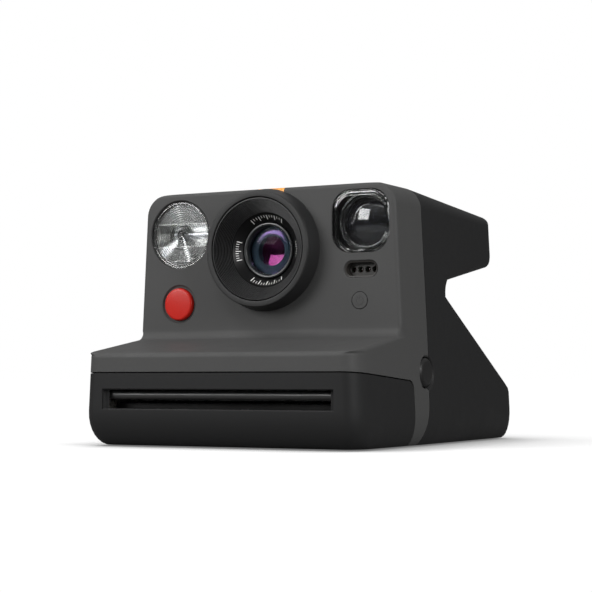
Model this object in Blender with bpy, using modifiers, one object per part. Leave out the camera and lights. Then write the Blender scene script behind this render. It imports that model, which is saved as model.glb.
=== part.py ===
"""An instant camera with a fixed body, built as separate pieces at their real size.

The front faces -Y, +X is on the right of somebody who looks at the front, and the base stands on Z = 0.
Lengths are in metres.
"""

import math

import bmesh
import bpy
from mathutils import Matrix, Vector

# Overall size of the body.
DEPTH = 0.15016
WIDTH = 0.1122
HEIGHT = 0.094
WALL = 0.002
GAP = 0.0003
# Where two outlines cut the body, one stands this far outside the other, so that they share no face.
EASE = 0.00002

# The body's outline, seen from the side (Y, Z), from the front (X, Z) and from above (X, Y).
FRONT_Y = -DEPTH / 2
REAR_Y = DEPTH / 2
PANEL_Y = -0.0382
SEAM_Y = -0.016
PANEL_BASE_Z = 0.0392
CHIN_TOP_Z = 0.0332
BACK_TOP_Z = 0.0183
WAIST_Y = 0.0052
WAIST_LOW_Z = 0.055
WAIST_HIGH_Z = 0.0606
HUMP_Y = 0.0575
HUMP_LOW_Z = 0.0693
HUMP_TOP_Z = 0.0894
SIDE_LEAN = 0.049
REAR_TAPER = 0.003
TOP_CORNER = 0.008
BASE_ROUND_OUT = 0.008
BASE_ROUND_UP = 0.013
CHIN_CORNER = 0.0092
BACK_CORNER = 0.007

# The film door, which turns about a line low behind it.
DOOR_REAR_Y = -0.03
DOOR_TOP_FRONT_Z = 0.02635
DOOR_TOP_REAR_Z = 0.0232
HINGE_Y = -0.03235
HINGE_Z = 0.0022
SLOT_HALF_WIDTH = 0.0467
SLOT_LOW_Z = 0.01345
SLOT_HIGH_Z = 0.0202

# Places of the parts on the front panel (X, Z).
LENS_Z = 0.0713
FLASH_X, FLASH_Z = -0.0373, 0.0784
FINDER_X, FINDER_Z = 0.0387, 0.0804
SENSOR_X, SENSOR_Z = 0.0388, 0.0631
SHUTTER_X, SHUTTER_Z = -0.0375, 0.0521
TIMER_X, TIMER_Z = 0.0384, 0.0519
INLAY_X = 0.002
FLASH_RADIUS = 0.0129
BARREL_RADIUS = 0.0225
BARREL_NECK_RADIUS = 0.0203
SHUTTER_RADIUS = 0.0061
TIMER_RADIUS = 0.003
FINDER_HALF = 0.0112
RELEASE_Y, RELEASE_Z, RELEASE_RADIUS = -0.018, 0.02635, 0.0055

# Behind the lens: the shutter blades' common pivot, and the focus disc's (X, Z).
SHUTTER_PIVOT_Z = LENS_Z - 0.0135
FOCUS_PIVOT = (-0.0095, LENS_Z - 0.0005)

# In the rear face of the hump, and the screws in the base (X, Y).
REAR_CONTROLS_Z = 0.0795
REAR_BUTTONS = {"flash_button": -0.0215, "power_button": -0.0375}
REAR_BUTTON_RADIUS = 0.004
SCREW_PLACES = ((-0.036, -0.005), (0.036, -0.005), (-0.036, 0.056), (0.036, 0.056))

# The film path: the chamber that takes the pack, and the rollers that spread the developer.
CHAMBER_HALF_WIDTH = 0.0452
CHAMBER_FRONT_Y = -0.0525
CHAMBER_REAR_Y = 0.0645
CHAMBER_LOW_Z = 0.0042
CHAMBER_HIGH_Z = 0.0188
CHAMBER_WALL = 0.0012
ROLLER_Y = -0.06
ROLLER_RADIUS = 0.0034
UPPER_ROLLER_Z = 0.01935
LOWER_ROLLER_Z = 0.01225
JOURNAL_RADIUS = 0.0015

# The gear train: teeth and (Y, Z) centres. Pitch radii are half the module for each tooth.
MODULE = 0.0008
PINION_TEETH, DRIVE_TEETH, IDLER_TEETH, ROLLER_TEETH = 10, 24, 18, 12
PINION_CENTRE = (-0.026, 0.029)
DRIVE_CENTRE = (-0.0387, 0.02412)
ROLLER_CENTRE = (ROLLER_Y, LOWER_ROLLER_Z)
GEAR_IN_X = -0.0494
GEAR_OUT_X = -0.0522

FORWARD = Vector((0, -1, 0))
BACKWARD = Vector((0, 1, 0))


def clear_scene():
    for scene_object in list(bpy.data.objects):
        bpy.data.objects.remove(scene_object)


def new_collection(name):
    collection = bpy.data.collections.new(name)
    bpy.context.scene.collection.children.link(collection)
    return collection


clear_scene()
CAMERA = new_collection("instant_camera")
CUTTERS = new_collection("cutters")


def material(name, colour, roughness, metallic=0.0, alpha=1.0):
    """A Principled material, made once for each name."""
    found = bpy.data.materials.get(name)
    if found:
        return found
    made = bpy.data.materials.new(name)
    made.use_nodes = True
    shader = made.node_tree.nodes["Principled BSDF"]
    shader.inputs["Base Color"].default_value = (*colour, 1.0)
    shader.inputs["Roughness"].default_value = roughness
    shader.inputs["Metallic"].default_value = metallic
    shader.inputs["Alpha"].default_value = alpha
    return made


def grey_plastic():
    return material("grey_plastic", (0.075, 0.075, 0.073), 0.55)


def black_plastic():
    return material("black_plastic", (0.018, 0.018, 0.019), 0.6)


def inner_plastic():
    return material("inner_plastic", (0.01, 0.01, 0.01), 0.75)


def clear_plastic():
    return material("clear_plastic", (0.9, 0.92, 0.93), 0.05, alpha=0.35)


def coated_glass():
    return material("coated_glass", (0.12, 0.06, 0.2), 0.03, alpha=0.5)


def steel():
    return material("steel", (0.55, 0.55, 0.56), 0.25, metallic=1.0)


def foil():
    return material("foil", (0.85, 0.85, 0.86), 0.15, metallic=1.0)


def red_plastic():
    return material("red_plastic", (0.62, 0.035, 0.02), 0.4)


def amber_plastic():
    return material("amber_plastic", (0.75, 0.33, 0.05), 0.45)


def gear_plastic():
    return material("gear_plastic", (0.72, 0.71, 0.66), 0.45)


def board_laminate():
    return material("board_laminate", (0.01, 0.12, 0.05), 0.4)


def mirror_glass():
    return material("mirror_glass", (0.9, 0.9, 0.9), 0.02, metallic=1.0)


def battery_wrap():
    return material("battery_wrap", (0.05, 0.09, 0.22), 0.45)


def add_object(name, mesh, finish=None):
    """Links a mesh as a part, or as a hidden cutter where no finish is given."""
    made = bpy.data.objects.new(name, mesh)
    (CAMERA if finish else CUTTERS).objects.link(made)
    if finish:
        mesh.materials.clear()
        mesh.materials.append(finish)
    else:
        made.hide_render = True
        made.display_type = "WIRE"
    return made


def mesh_from(bm, name):
    mesh = bpy.data.meshes.new(name)
    bm.to_mesh(mesh)
    bm.free()
    return mesh


def bake(made):
    """Replaces an object's mesh with what its modifiers make of it, and removes them."""
    bpy.context.view_layer.update()
    graph = bpy.context.evaluated_depsgraph_get()
    mesh = bpy.data.meshes.new_from_object(made.evaluated_get(graph), depsgraph=graph)
    made.modifiers.clear()
    old = made.data
    finishes = list(old.materials)
    made.data = mesh
    mesh.materials.clear()
    for finish in finishes:
        mesh.materials.append(finish)
    bpy.data.meshes.remove(old)
    return made


def box_mesh(name, low, high):
    bm = bmesh.new()
    size = [high[i] - low[i] for i in range(3)]
    centre = [(high[i] + low[i]) / 2 for i in range(3)]
    place = Matrix.Translation(centre) @ Matrix.Diagonal((*size, 1.0))
    bmesh.ops.create_cube(bm, size=1.0, matrix=place)
    return mesh_from(bm, name)


def box(name, low, high, finish=None):
    return add_object(name, box_mesh(name, low, high), finish)


def along(direction, centre):
    """The matrix that turns local Z to a direction and moves the origin to a centre."""
    turn = Vector(direction).to_track_quat("Z", "Y").to_matrix().to_4x4()
    return Matrix.Translation(centre) @ turn


def rod(name, radius, start, end, finish=None, sides=24):
    """A straight cylinder from one point to another."""
    start, end = Vector(start), Vector(end)
    bm = bmesh.new()
    bmesh.ops.create_cone(
        bm,
        cap_ends=True,
        segments=sides,
        radius1=radius,
        radius2=radius,
        depth=(end - start).length,
        matrix=along(end - start, (start + end) / 2),
    )
    return add_object(name, mesh_from(bm, name), finish)


def smooth(made, degrees=35):
    made.data.shade_smooth()
    made.data.set_sharp_from_angle(angle=math.radians(degrees))
    return made


def turned(name, profile, centre, finish=None, direction=FORWARD, steps=32):
    """A turned piece: (radius, distance along the direction) points, swept round by a Screw modifier.

    The profile is closed on itself, unless its two ends lie on the axis.
    """
    mesh = bpy.data.meshes.new(name)
    points = [(radius, 0, height) for radius, height in profile]
    edges = [(i, i + 1) for i in range(len(points) - 1)]
    if profile[0][0] > 0 or profile[-1][0] > 0:
        edges.append((len(points) - 1, 0))
    mesh.from_pydata(points, edges, [])
    made = add_object(name, mesh, finish)
    screw = made.modifiers.new("turn", "SCREW")
    screw.steps = steps
    screw.render_steps = steps
    screw.use_merge_vertices = True
    screw.merge_threshold = 1e-6
    bake(made)
    bm = bmesh.new()
    bm.from_mesh(made.data)
    bmesh.ops.remove_doubles(bm, verts=bm.verts, dist=1e-7)
    bmesh.ops.recalc_face_normals(bm, faces=bm.faces)
    bmesh.ops.transform(bm, matrix=along(direction, centre), verts=bm.verts)
    bm.to_mesh(made.data)
    bm.free()
    return smooth(made)


def flat_outline(name, points, axis, start, end, finish=None):
    """A flat outline given a thickness: a filled 2D curve, extruded, then made a mesh.

    The points are (Y, Z) for axis X, (X, Z) for axis Y and (X, Y) for axis Z.
    """
    curve = bpy.data.curves.new(name, "CURVE")
    curve.dimensions = "2D"
    curve.fill_mode = "BOTH"
    curve.extrude = abs(end - start) / 2
    spline = curve.splines.new("POLY")
    spline.points.add(len(points) - 1)
    for point, (u, v) in zip(spline.points, points):
        point.co = (u, v, 0, 1)
    spline.use_cyclic_u = True
    frames = {
        "X": ((0, 1, 0), (0, 0, 1), (1, 0, 0)),
        "Y": ((1, 0, 0), (0, 0, 1), (0, -1, 0)),
        "Z": ((1, 0, 0), (0, 1, 0), (0, 0, 1)),
    }
    turn = Matrix(frames[axis]).transposed().to_4x4()
    middle = Vector([(start + end) / 2 if letter == axis else 0 for letter in "XYZ"])
    guide = bpy.data.objects.new(name + "_guide", curve)
    CUTTERS.objects.link(guide)
    bpy.context.view_layer.update()
    graph = bpy.context.evaluated_depsgraph_get()
    mesh = bpy.data.meshes.new_from_object(guide.evaluated_get(graph), depsgraph=graph)
    bpy.data.objects.remove(guide)
    bm = bmesh.new()
    bm.from_mesh(mesh)
    bpy.data.meshes.remove(mesh)
    bmesh.ops.remove_doubles(bm, verts=bm.verts, dist=1e-7)
    bmesh.ops.transform(bm, matrix=Matrix.Translation(middle) @ turn, verts=bm.verts)
    bmesh.ops.recalc_face_normals(bm, faces=bm.faces)
    return add_object(name, mesh_from(bm, name), finish)


def rounded(corners, steps=5):
    """An outline with round corners, from (u, v, reach before, reach after) corners.

    Each corner is the quarter of an ellipse that touches both sides at those reaches.
    """
    points = []
    for i, (u, v, before, after) in enumerate(corners):
        corner = Vector((u, v))
        if before == 0:
            points.append(corner)
            continue
        to_last = (Vector(corners[i - 1][:2]) - corner).normalized()
        to_next = (Vector(corners[(i + 1) % len(corners)][:2]) - corner).normalized()
        for step in range(steps + 1):
            turn = math.pi / 2 * step / steps
            back = to_last * before * (1 - math.sin(turn))
            ahead = to_next * after * (1 - math.cos(turn))
            points.append(corner + back + ahead)
    return [tuple(point) for point in points]


def inset(corners, distance):
    """The same corners moved inwards, for an outline that runs anticlockwise."""
    moved = []
    count = len(corners)
    for i, (u, v, before, after) in enumerate(corners):
        corner = Vector((u, v))
        arriving = (corner - Vector(corners[i - 1][:2])).normalized()
        leaving = (Vector(corners[(i + 1) % count][:2]) - corner).normalized()
        inward_a = Vector((-arriving.y, arriving.x))
        inward_b = Vector((-leaving.y, leaving.x))
        bisector = (inward_a + inward_b).normalized()
        place = corner + bisector * distance / bisector.dot(inward_a)
        turn = arriving.x * leaving.y - arriving.y * leaving.x
        change = distance if turn > 0 else 0
        reaches = [max(reach - change, distance / 4) if reach else 0 for reach in (before, after)]
        moved.append((place.x, place.y, *reaches))
    return moved


def modify(target, other, operation):
    boolean = target.modifiers.new(other.name, "BOOLEAN")
    boolean.operation = operation
    boolean.object = other
    return target


def cut(target, *others):
    for other in others:
        modify(target, other, "DIFFERENCE")
    return target


def keep(target, *others):
    for other in others:
        modify(target, other, "INTERSECT")
    return target


def join(target, *others):
    for other in others:
        modify(target, other, "UNION")
    return target


def set_origin(made, point):
    """Moves an object's origin to its joint's axis and leaves its shape where it is."""
    made.data.transform(Matrix.Translation(-Vector(point)))
    made.location = point
    return made


def half_width(z):
    """Half the body's width at a height: the sides lean in to the top from above the base's round."""
    return WIDTH / 2 - SIDE_LEAN * (z - BASE_ROUND_UP)


def side_corners():
    """The side view (Y, Z), anticlockwise from the front of the base."""
    return [
        (FRONT_Y, 0, BASE_ROUND_UP, BASE_ROUND_OUT),
        (REAR_Y, 0, BASE_ROUND_OUT, BASE_ROUND_UP),
        (REAR_Y, BACK_TOP_Z, 0.001, 0.001),
        (WAIST_Y, WAIST_LOW_Z, 0.002, 0.002),
        (WAIST_Y, WAIST_HIGH_Z, 0.003, 0.003),
        (HUMP_Y, HUMP_LOW_Z, 0.005, 0.005),
        (HUMP_Y, HUMP_TOP_Z, 0.005, 0.005),
        (SEAM_Y, HEIGHT, 0.003, 0.003),
        (PANEL_Y, HEIGHT, 0.0014, 0.0014),
        (PANEL_Y, PANEL_BASE_Z, 0.003, 0.003),
        (FRONT_Y, CHIN_TOP_Z, 0.0016, 0.0016),
    ]


def front_corners():
    """The front view (X, Z), anticlockwise from the left of the base."""
    low = half_width(0)
    high = half_width(HEIGHT)
    top = HEIGHT + EASE
    return [
        (-low, -EASE, BASE_ROUND_UP, BASE_ROUND_OUT),
        (low, -EASE, BASE_ROUND_OUT, BASE_ROUND_UP),
        (high, top, TOP_CORNER, TOP_CORNER),
        (-high, top, TOP_CORNER, TOP_CORNER),
    ]


def plan_corners():
    """The view from above (X, Y), anticlockwise from the front left."""
    wide = half_width(0) + EASE
    narrow = wide - REAR_TAPER
    front, rear = FRONT_Y - EASE, REAR_Y + EASE
    return [
        (-wide, front, CHIN_CORNER, CHIN_CORNER),
        (wide, front, CHIN_CORNER, CHIN_CORNER),
        (wide, SEAM_Y, 0, 0),
        (narrow, rear, BACK_CORNER, BACK_CORNER),
        (-narrow, rear, BACK_CORNER, BACK_CORNER),
        (-wide, SEAM_Y, 0, 0),
    ]


def body_form(name, depth):
    """The body's outer form, or the form that lies the given depth inside it."""
    side = flat_outline(name, rounded(inset(side_corners(), depth), 5), "X", -0.1, 0.1)
    front = flat_outline(name + "_front", rounded(inset(front_corners(), depth), 6), "Y", -0.1, 0.1)
    plan = flat_outline(name + "_plan", rounded(inset(plan_corners(), depth), 7), "Z", -0.1, 0.2)
    return bake(keep(side, front, plan))


OUTER = body_form("outer_form", 0.0)
INNER = body_form("inner_form", WALL)


def shell(name, region, finish):
    """The part of the body's wall that lies in a region of the side view."""
    made = add_object(name, OUTER.data.copy(), finish)
    keep(made, flat_outline(name + "_region", region, "X", -0.1, 0.1))
    return cut(made, INNER)


def seam_height(y):
    """The height of the line between the film door and the cover above it."""
    share = (y - FRONT_Y) / (DOOR_REAR_Y - FRONT_Y)
    return DOOR_TOP_FRONT_Z + share * (DOOR_TOP_REAR_Z - DOOR_TOP_FRONT_Z)


def front_cover():
    """The grey front: panel, shelf and chin, with a strap on each side that runs under the base."""
    clear = GAP / 2
    beyond = FRONT_Y - 0.01
    region = rounded(
        [
            (beyond, seam_height(beyond) + clear, 0, 0),
            (DOOR_REAR_Y + clear, DOOR_TOP_REAR_Z + clear, 0.0035, 0.0035),
            (DOOR_REAR_Y + clear, -0.01, 0, 0),
            (SEAM_Y - clear, -0.01, 0, 0),
            (SEAM_Y - clear, 0.11, 0, 0),
            (beyond, 0.11, 0, 0),
        ]
    )
    cover = shell("front_cover", region, grey_plastic())
    through = PANEL_Y + 0.006
    ahead = PANEL_Y - 0.006

    def hole(name, x, z, radius, sides=40):
        return rod(name, radius, (x, ahead, z), (x, through, z), sides=sides)

    # Ears reach forward from the strap to the hinge line, inside the door's side walls.
    for side in (-1, 1):
        ear = flat_outline(
            f"ear_{side}",
            rounded(
                [
                    (HINGE_Y - 0.0018, HINGE_Z - 0.0018, 0.0012, 0.0012),
                    (SEAM_Y - 0.0012, HINGE_Z - 0.0018, 0, 0),
                    (SEAM_Y - 0.0012, HINGE_Z + 0.003, 0, 0),
                    (HINGE_Y - 0.0018, HINGE_Z + 0.002, 0.0012, 0.0012),
                ],
                steps=3,
            ),
            "X",
            side * 0.047,
            side * 0.0484,
        )
        join(cover, ear)
        low = (side * 0.0455, HINGE_Y, HINGE_Z)
        high = (side * 0.0495, HINGE_Y, HINGE_Z)
        cut(cover, rod(f"ear_bore_{side}", 0.00105, low, high, sides=16))
    cut(cover, hole("flash_hole", FLASH_X, FLASH_Z, FLASH_RADIUS + GAP))
    cut(cover, hole("barrel_hole", 0, LENS_Z, BARREL_NECK_RADIUS + GAP, 40))
    cut(cover, hole("shutter_hole", SHUTTER_X, SHUTTER_Z, SHUTTER_RADIUS + GAP, 32))
    cut(cover, hole("timer_hole", TIMER_X, TIMER_Z, TIMER_RADIUS + GAP / 2, 24))
    cut(cover, squircle("finder_hole", FINDER_X, FINDER_Z, FINDER_HALF + GAP, ahead, through))
    cut(cover, pill("sensor_hole", 0.0, ahead, through))
    cut(cover, inlay_form("inlay_recess", GAP))
    cut(cover, release_recess("front_release_recess"))
    return bake(cover)


def squircle(name, x, z, half, start, end, finish=None, corner=0.0072):
    """A square with generous corners, the outline of the viewfinder's window."""
    return flat_outline(
        name,
        rounded(
            [
                (x - half, z - half, corner, corner),
                (x + half, z - half, corner, corner),
                (x + half, z + half, corner, corner),
                (x - half, z + half, corner, corner),
            ]
        ),
        "Y",
        start,
        end,
        finish,
    )


def pill(name, margin, start, end, finish=None):
    """A slot with fully round ends, the outline of the sensor window."""
    half_long = 0.0066 - margin
    half_high = 0.003 - margin
    reach = half_high * 0.995
    return flat_outline(
        name,
        rounded(
            [
                (SENSOR_X - half_long, SENSOR_Z - half_high, reach, reach),
                (SENSOR_X + half_long, SENSOR_Z - half_high, reach, reach),
                (SENSOR_X + half_long, SENSOR_Z + half_high, reach, reach),
                (SENSOR_X - half_long, SENSOR_Z + half_high, reach, reach),
            ]
        ),
        "Y",
        start,
        end,
        finish,
    )


def release_recess(name):
    """The round hole for the door's release, half in each cover."""
    inside = (0.05, RELEASE_Y, RELEASE_Z)
    return rod(name, RELEASE_RADIUS + GAP, inside, (0.06, RELEASE_Y, RELEASE_Z), sides=32)


def rear_cover():
    """The black rear: hump, waist, slope and base in one moulding, open towards the front."""
    region = [(SEAM_Y + GAP / 2, -0.01), (0.1, -0.01), (0.1, 0.11), (SEAM_Y + GAP / 2, 0.11)]
    cover = shell("rear_cover", region, black_plastic())
    inside = HUMP_Y - 0.005
    outside = HUMP_Y + 0.005
    eyepiece_x = FINDER_X - 0.001
    hole = squircle("eyepiece_hole", eyepiece_x, REAR_CONTROLS_Z, 0.0075, inside, outside, corner=0.004)
    cut(cover, hole)
    cut(cover, box("counter_hole", (-0.0052, inside, 0.0752), (0.0052, outside, 0.0838)))
    for name, x in REAR_BUTTONS.items():
        ends = ((x, inside, REAR_CONTROLS_Z), (x, outside, REAR_CONTROLS_Z))
        cut(cover, rod(name + "_hole", REAR_BUTTON_RADIUS + GAP / 2, *ends))
    cut(cover, release_recess("rear_release_recess"))
    cut(cover, box("usb_hole", (-0.06, -0.0002, 0.0328), (-0.045, 0.0082, 0.0362)))
    for place in SCREW_PLACES:
        cut(cover, rod("screw_hole", 0.0025, (*place, -0.001), (*place, 0.0011), sides=16))
        cut(cover, rod("screw_shank_hole", 0.0011, (*place, -0.001), (*place, 0.005), sides=12))
    return bake(cover)


def film_door():
    """The black door: the front and bottom below the seam, with the slot that the picture leaves by."""
    clear = GAP / 2
    beyond = FRONT_Y - 0.01
    rear = DOOR_REAR_Y - clear
    under = -0.0001
    # The cheeks end in a round about the hinge line, and the floor stops short of it.
    region = rounded(
        [
            (beyond, -0.01, 0, 0),
            (HINGE_Y, -0.01, 0, 0),
            (HINGE_Y, under, 0, 0),
            (rear, under, rear - HINGE_Y - 0.0001, HINGE_Z),
            (rear, DOOR_TOP_REAR_Z - clear, 0.0033, 0.0033),
            (beyond, seam_height(beyond) - clear, 0, 0),
        ]
    )
    door = shell("film_door", region, black_plastic())
    cut(door, box("floor_end", (-0.0486, HINGE_Y - 0.0022, -0.01), (0.0486, -0.02, 0.01)))
    for side in (-1, 1):
        axis_in = (side * 0.0487, HINGE_Y, HINGE_Z)
        axis_out = (side * 0.0515, HINGE_Y, HINGE_Z)
        join(door, rod(f"door_boss_{side}", 0.0019, axis_in, axis_out, sides=20))
        bore_end = (side * 0.0506, HINGE_Y, HINGE_Z)
        cut(door, rod(f"boss_bore_{side}", 0.00105, (side * 0.048, HINGE_Y, HINGE_Z), bore_end, sides=16))
    # The catch stands beside the latch's prong, on the side wall that carries the release.
    join(door, box("door_catch", (0.0498, -0.0341, 0.0176), (0.0545, -0.0326, 0.0198)))
    slot = rounded(
        [
            (-SLOT_HALF_WIDTH, SLOT_LOW_Z, 0.0006, 0.0006),
            (SLOT_HALF_WIDTH, SLOT_LOW_Z, 0.0006, 0.0006),
            (SLOT_HALF_WIDTH, SLOT_HIGH_Z, 0.0006, 0.0006),
            (-SLOT_HALF_WIDTH, SLOT_HIGH_Z, 0.0006, 0.0006),
        ],
        steps=2,
    )
    cut(door, flat_outline("exit_slot", slot, "Y", FRONT_Y - 0.005, FRONT_Y + 0.006))
    return set_origin(bake(door), (0, HINGE_Y, HINGE_Z))


def hinge_pins():
    for name, side in (("hinge_pin_left", -1), ("hinge_pin_right", 1)):
        inner = (side * 0.0467, HINGE_Y, HINGE_Z)
        smooth(rod(name, 0.001, inner, (side * 0.0504, HINGE_Y, HINGE_Z), steel(), sides=16))


def release_and_latch():
    """The round button on the right side, and the sliding hook that it pushes off the door."""
    face_x = half_width(RELEASE_Z) + 0.0002
    cap = [(0, face_x), (0.0048, face_x - 0.0001), (0.0053, face_x - 0.0005), (0.0053, 0.0515)]
    stem = [(0.0022, 0.0515), (0.0022, 0.0498), (0, 0.0498)]
    button = turned(
        "door_release_button",
        cap + stem,
        (0, RELEASE_Y, RELEASE_Z),
        black_plastic(),
        Vector((1, 0, 0)),
        24,
    )
    set_origin(button, (face_x, RELEASE_Y, RELEASE_Z))
    outline = [
        (RELEASE_Y + 0.003, RELEASE_Z - 0.003),
        (RELEASE_Y + 0.003, RELEASE_Z + 0.003),
        (-0.0375, RELEASE_Z + 0.003),
        (-0.0375, 0.0175),
        (-0.0345, 0.0175),
        (-0.0345, RELEASE_Z - 0.003),
    ]
    latch = flat_outline("door_latch", outline, "X", 0.0483, 0.0495, steel())
    set_origin(latch, (0.0489, RELEASE_Y, RELEASE_Z))


def forward(y):
    """A distance towards the front, as the turned profiles count it."""
    return -y


def lens():
    """The barrel, the grooved hood, the retaining ring and the glass, all about one axis."""
    axis = (0, 0, LENS_Z)
    turned(
        "lens_barrel",
        [
            (0.0192, 0.0453),
            (0.0203, 0.0453),
            (0.0211, 0.0445),
            (BARREL_RADIUS, 0.0385),
            (BARREL_NECK_RADIUS, 0.0385),
            (BARREL_NECK_RADIUS, 0.0342),
            (0.0192, 0.0342),
        ],
        axis,
        grey_plastic(),
    )
    # The hood steps down in grooves from its mouth to a plain cone, where the ring sits.
    grooves = 6
    mouth_r, throat_r = 0.0186, 0.0136
    mouth_y, throat_y = 0.045, 0.0388
    hood = []
    for i in range(grooves):
        share = i / grooves
        radius = mouth_r + share * (throat_r - mouth_r)
        height = mouth_y + share * (throat_y - mouth_y)
        hood.append((radius, height))
        hood.append((radius - 0.0001, height - 0.0007))
    hood += [(throat_r, throat_y), (0.0106, 0.036), (0.0106, 0.0338), (0.0189, 0.0338), (0.0189, 0.0446)]
    turned("lens_hood", hood[::-1], axis, inner_plastic())
    turned(
        "lens_ring",
        [(0.0089, 0.036), (0.0095, 0.0365), (0.0102, 0.0361), (0.0102, 0.0322), (0.0089, 0.0322)],
        axis,
        black_plastic(),
    )
    turned(
        "front_lens",
        [
            (0, 0.0357),
            (0.003, 0.0355),
            (0.0057, 0.0349),
            (0.0078, 0.0339),
            (0.0086, 0.033),
            (0.0086, 0.032),
            (0, 0.032),
        ],
        axis,
        coated_glass(),
    )
    turned(
        "lens_tube",
        [
            (0.0102, 0.0318),
            (0.0102, 0.0302),
            (0.0122, 0.0302),
            (0.0122, 0.0289),
            (0.0065, 0.0289),
            (0.0065, 0.0318),
        ],
        axis,
        black_plastic(),
    )


def shutter():
    """The housing behind the lens, with two swinging blades and the disc that changes the focus lens."""
    low, high = (-0.0205, -0.0235, 0.0545), (0.0205, -0.0187, 0.0862)
    housing = box("shutter_housing", low, high, inner_plastic())
    cut(housing, box("blade_space", (-0.0185, -0.0222, 0.05), (0.0185, -0.0198, 0.0842)))
    cut(housing, rod("housing_bore", 0.0055, (0, -0.03, LENS_Z), (0, -0.01, LENS_Z), sides=28))
    for name, side, y in (("shutter_blade_left", -1, -0.0213), ("shutter_blade_right", 1, -0.0207)):
        outline = rounded(
            [
                (side * 0.001, SHUTTER_PIVOT_Z - 0.0022, 0.001, 0.001),
                (side * 0.0035, SHUTTER_PIVOT_Z, 0.001, 0.001),
                (side * 0.0068, LENS_Z - 0.003, 0.001, 0.001),
                (side * 0.0062, LENS_Z + 0.0065, 0.003, 0.003),
                (side * -0.0012, LENS_Z + 0.0065, 0.001, 0.001),
                (side * -0.0016, SHUTTER_PIVOT_Z, 0.001, 0.001),
            ],
            steps=3,
        )
        blade = flat_outline(name, outline, "Y", y - 0.00012, y + 0.00012, steel())
        set_origin(bake(blade), (0, y, SHUTTER_PIVOT_Z))
    pivot_x, pivot_z = FOCUS_PIVOT
    front, rear = (pivot_x, -0.0275, pivot_z), (pivot_x, -0.0265, pivot_z)
    disc = rod("focus_disc", 0.0165, front, rear, gear_plastic(), 40)
    for name, x in (("far", 0.0), ("near", 2 * pivot_x)):
        z = LENS_Z if name == "far" else 2 * pivot_z - LENS_Z
        cut(disc, rod(name + "_bore", 0.0057, (x, -0.03, z), (x, -0.02, z), sides=28))
        bulge = 0.0009 if name == "far" else 0.0014
        profile = [
            (0, 0.0268 + bulge),
            (0.003, 0.0268 + bulge * 0.75),
            (0.0054, 0.0268),
            (0.0054, 0.0262),
            (0, 0.0262),
        ]
        glass = turned(name + "_lens", profile, (x, 0, z), coated_glass(), steps=20)
        set_origin(glass, (pivot_x, -0.027, pivot_z))
    set_origin(bake(disc), (pivot_x, -0.027, pivot_z))


def flash():
    """The ribbed window, the trough-shaped reflector with its tube, and the capacitor that feeds it."""
    window = [(0, 0.0377), (0.0121, 0.0377), (0.0127, 0.0371), (0.0127, 0.0352), (0, 0.0352)]
    turned("flash_window", window, (FLASH_X, 0, FLASH_Z), clear_plastic())
    low, high = FLASH_Z - 0.0041, FLASH_Z + 0.0041
    depth = 0.0085
    mouth = -0.0347
    outer = rounded(
        [
            (mouth, low - 0.0008, 0, 0),
            (mouth + depth, FLASH_Z - 0.0022, 0.0022, 0.0022),
            (mouth + depth, FLASH_Z + 0.0022, 0.0022, 0.0022),
            (mouth, high + 0.0008, 0, 0),
        ]
    )
    trough = [
        (mouth - 0.001, low - 0.0002, 0, 0),
        (mouth + depth - 0.0007, FLASH_Z - 0.0018, 0.002, 0.002),
        (mouth + depth - 0.0007, FLASH_Z + 0.0018, 0.002, 0.002),
        (mouth - 0.001, high + 0.0002, 0, 0),
    ]
    reflector = flat_outline("flash_reflector", outer, "X", FLASH_X - 0.0117, FLASH_X + 0.0117, foil())
    cut(reflector, flat_outline("trough", rounded(trough), "X", FLASH_X - 0.0109, FLASH_X + 0.0109))
    tube_y = mouth + 0.0052
    through = ((FLASH_X - 0.02, tube_y, FLASH_Z), (FLASH_X + 0.02, tube_y, FLASH_Z))
    bake(cut(reflector, rod("tube_hole", 0.0015, *through, sides=16)))
    ends = ((FLASH_X - 0.0135, tube_y, FLASH_Z), (FLASH_X + 0.0135, tube_y, FLASH_Z))
    smooth(rod("flash_tube", 0.0012, *ends, clear_plastic(), sides=16))
    ends = ((-0.036, -0.024, 0.081), (-0.036, 0.01, 0.081))
    smooth(rod("flash_capacitor", 0.0062, *ends, battery_wrap(), 28))


def viewfinder():
    """The front window, the tube that carries it, the inner lens and the eyepiece at the back."""
    place = (FINDER_X, FINDER_Z)
    window = squircle("viewfinder_window", *place, FINDER_HALF, -0.0388, -0.0352, clear_plastic())
    hollow = squircle("window_hollow", *place, FINDER_HALF - 0.0012, -0.0375, -0.034, corner=0.0062)
    bake(cut(window, hollow))
    bulb = [
        (0, 0.0344),
        (0.0035, 0.0339),
        (0.0062, 0.0323),
        (0.008, 0.0299),
        (0.0085, 0.0275),
        (0.0085, 0.0262),
        (0, 0.0262),
    ]
    turned("viewfinder_lens", bulb, (FINDER_X + 0.0008, 0, FINDER_Z), coated_glass(), steps=28)
    tube = box("viewfinder_tube", (0.0294, -0.0258, 0.0714), (0.0476, 0.0516, 0.0872), inner_plastic())
    bake(cut(tube, box("tube_hollow", (0.0304, -0.03, 0.0724), (0.0466, 0.06, 0.0862))))
    eyepiece_x = FINDER_X - 0.001
    front, rear = 0.0522, HUMP_Y - 0.0004
    glass = coated_glass()
    bake(squircle("viewfinder_eyepiece", eyepiece_x, REAR_CONTROLS_Z, 0.0072, front, rear, glass, 0.0038))


def sensors():
    """The recessed plate with four small holes, and the board behind it that carries the sensors."""
    plate = pill("sensor_bezel", GAP / 2, -0.0352, -0.034, inner_plastic())
    for i in range(4):
        x = SENSOR_X + (i - 1.5) * 0.0029
        cut(plate, rod(f"sensor_bore_{i}", 0.0009, (x, -0.04, SENSOR_Z), (x, -0.03, SENSOR_Z), sides=16))
    bake(plate)
    box("sensor_board", (0.0305, -0.0334, 0.0592), (0.0471, -0.0324, 0.067), board_laminate())


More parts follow.
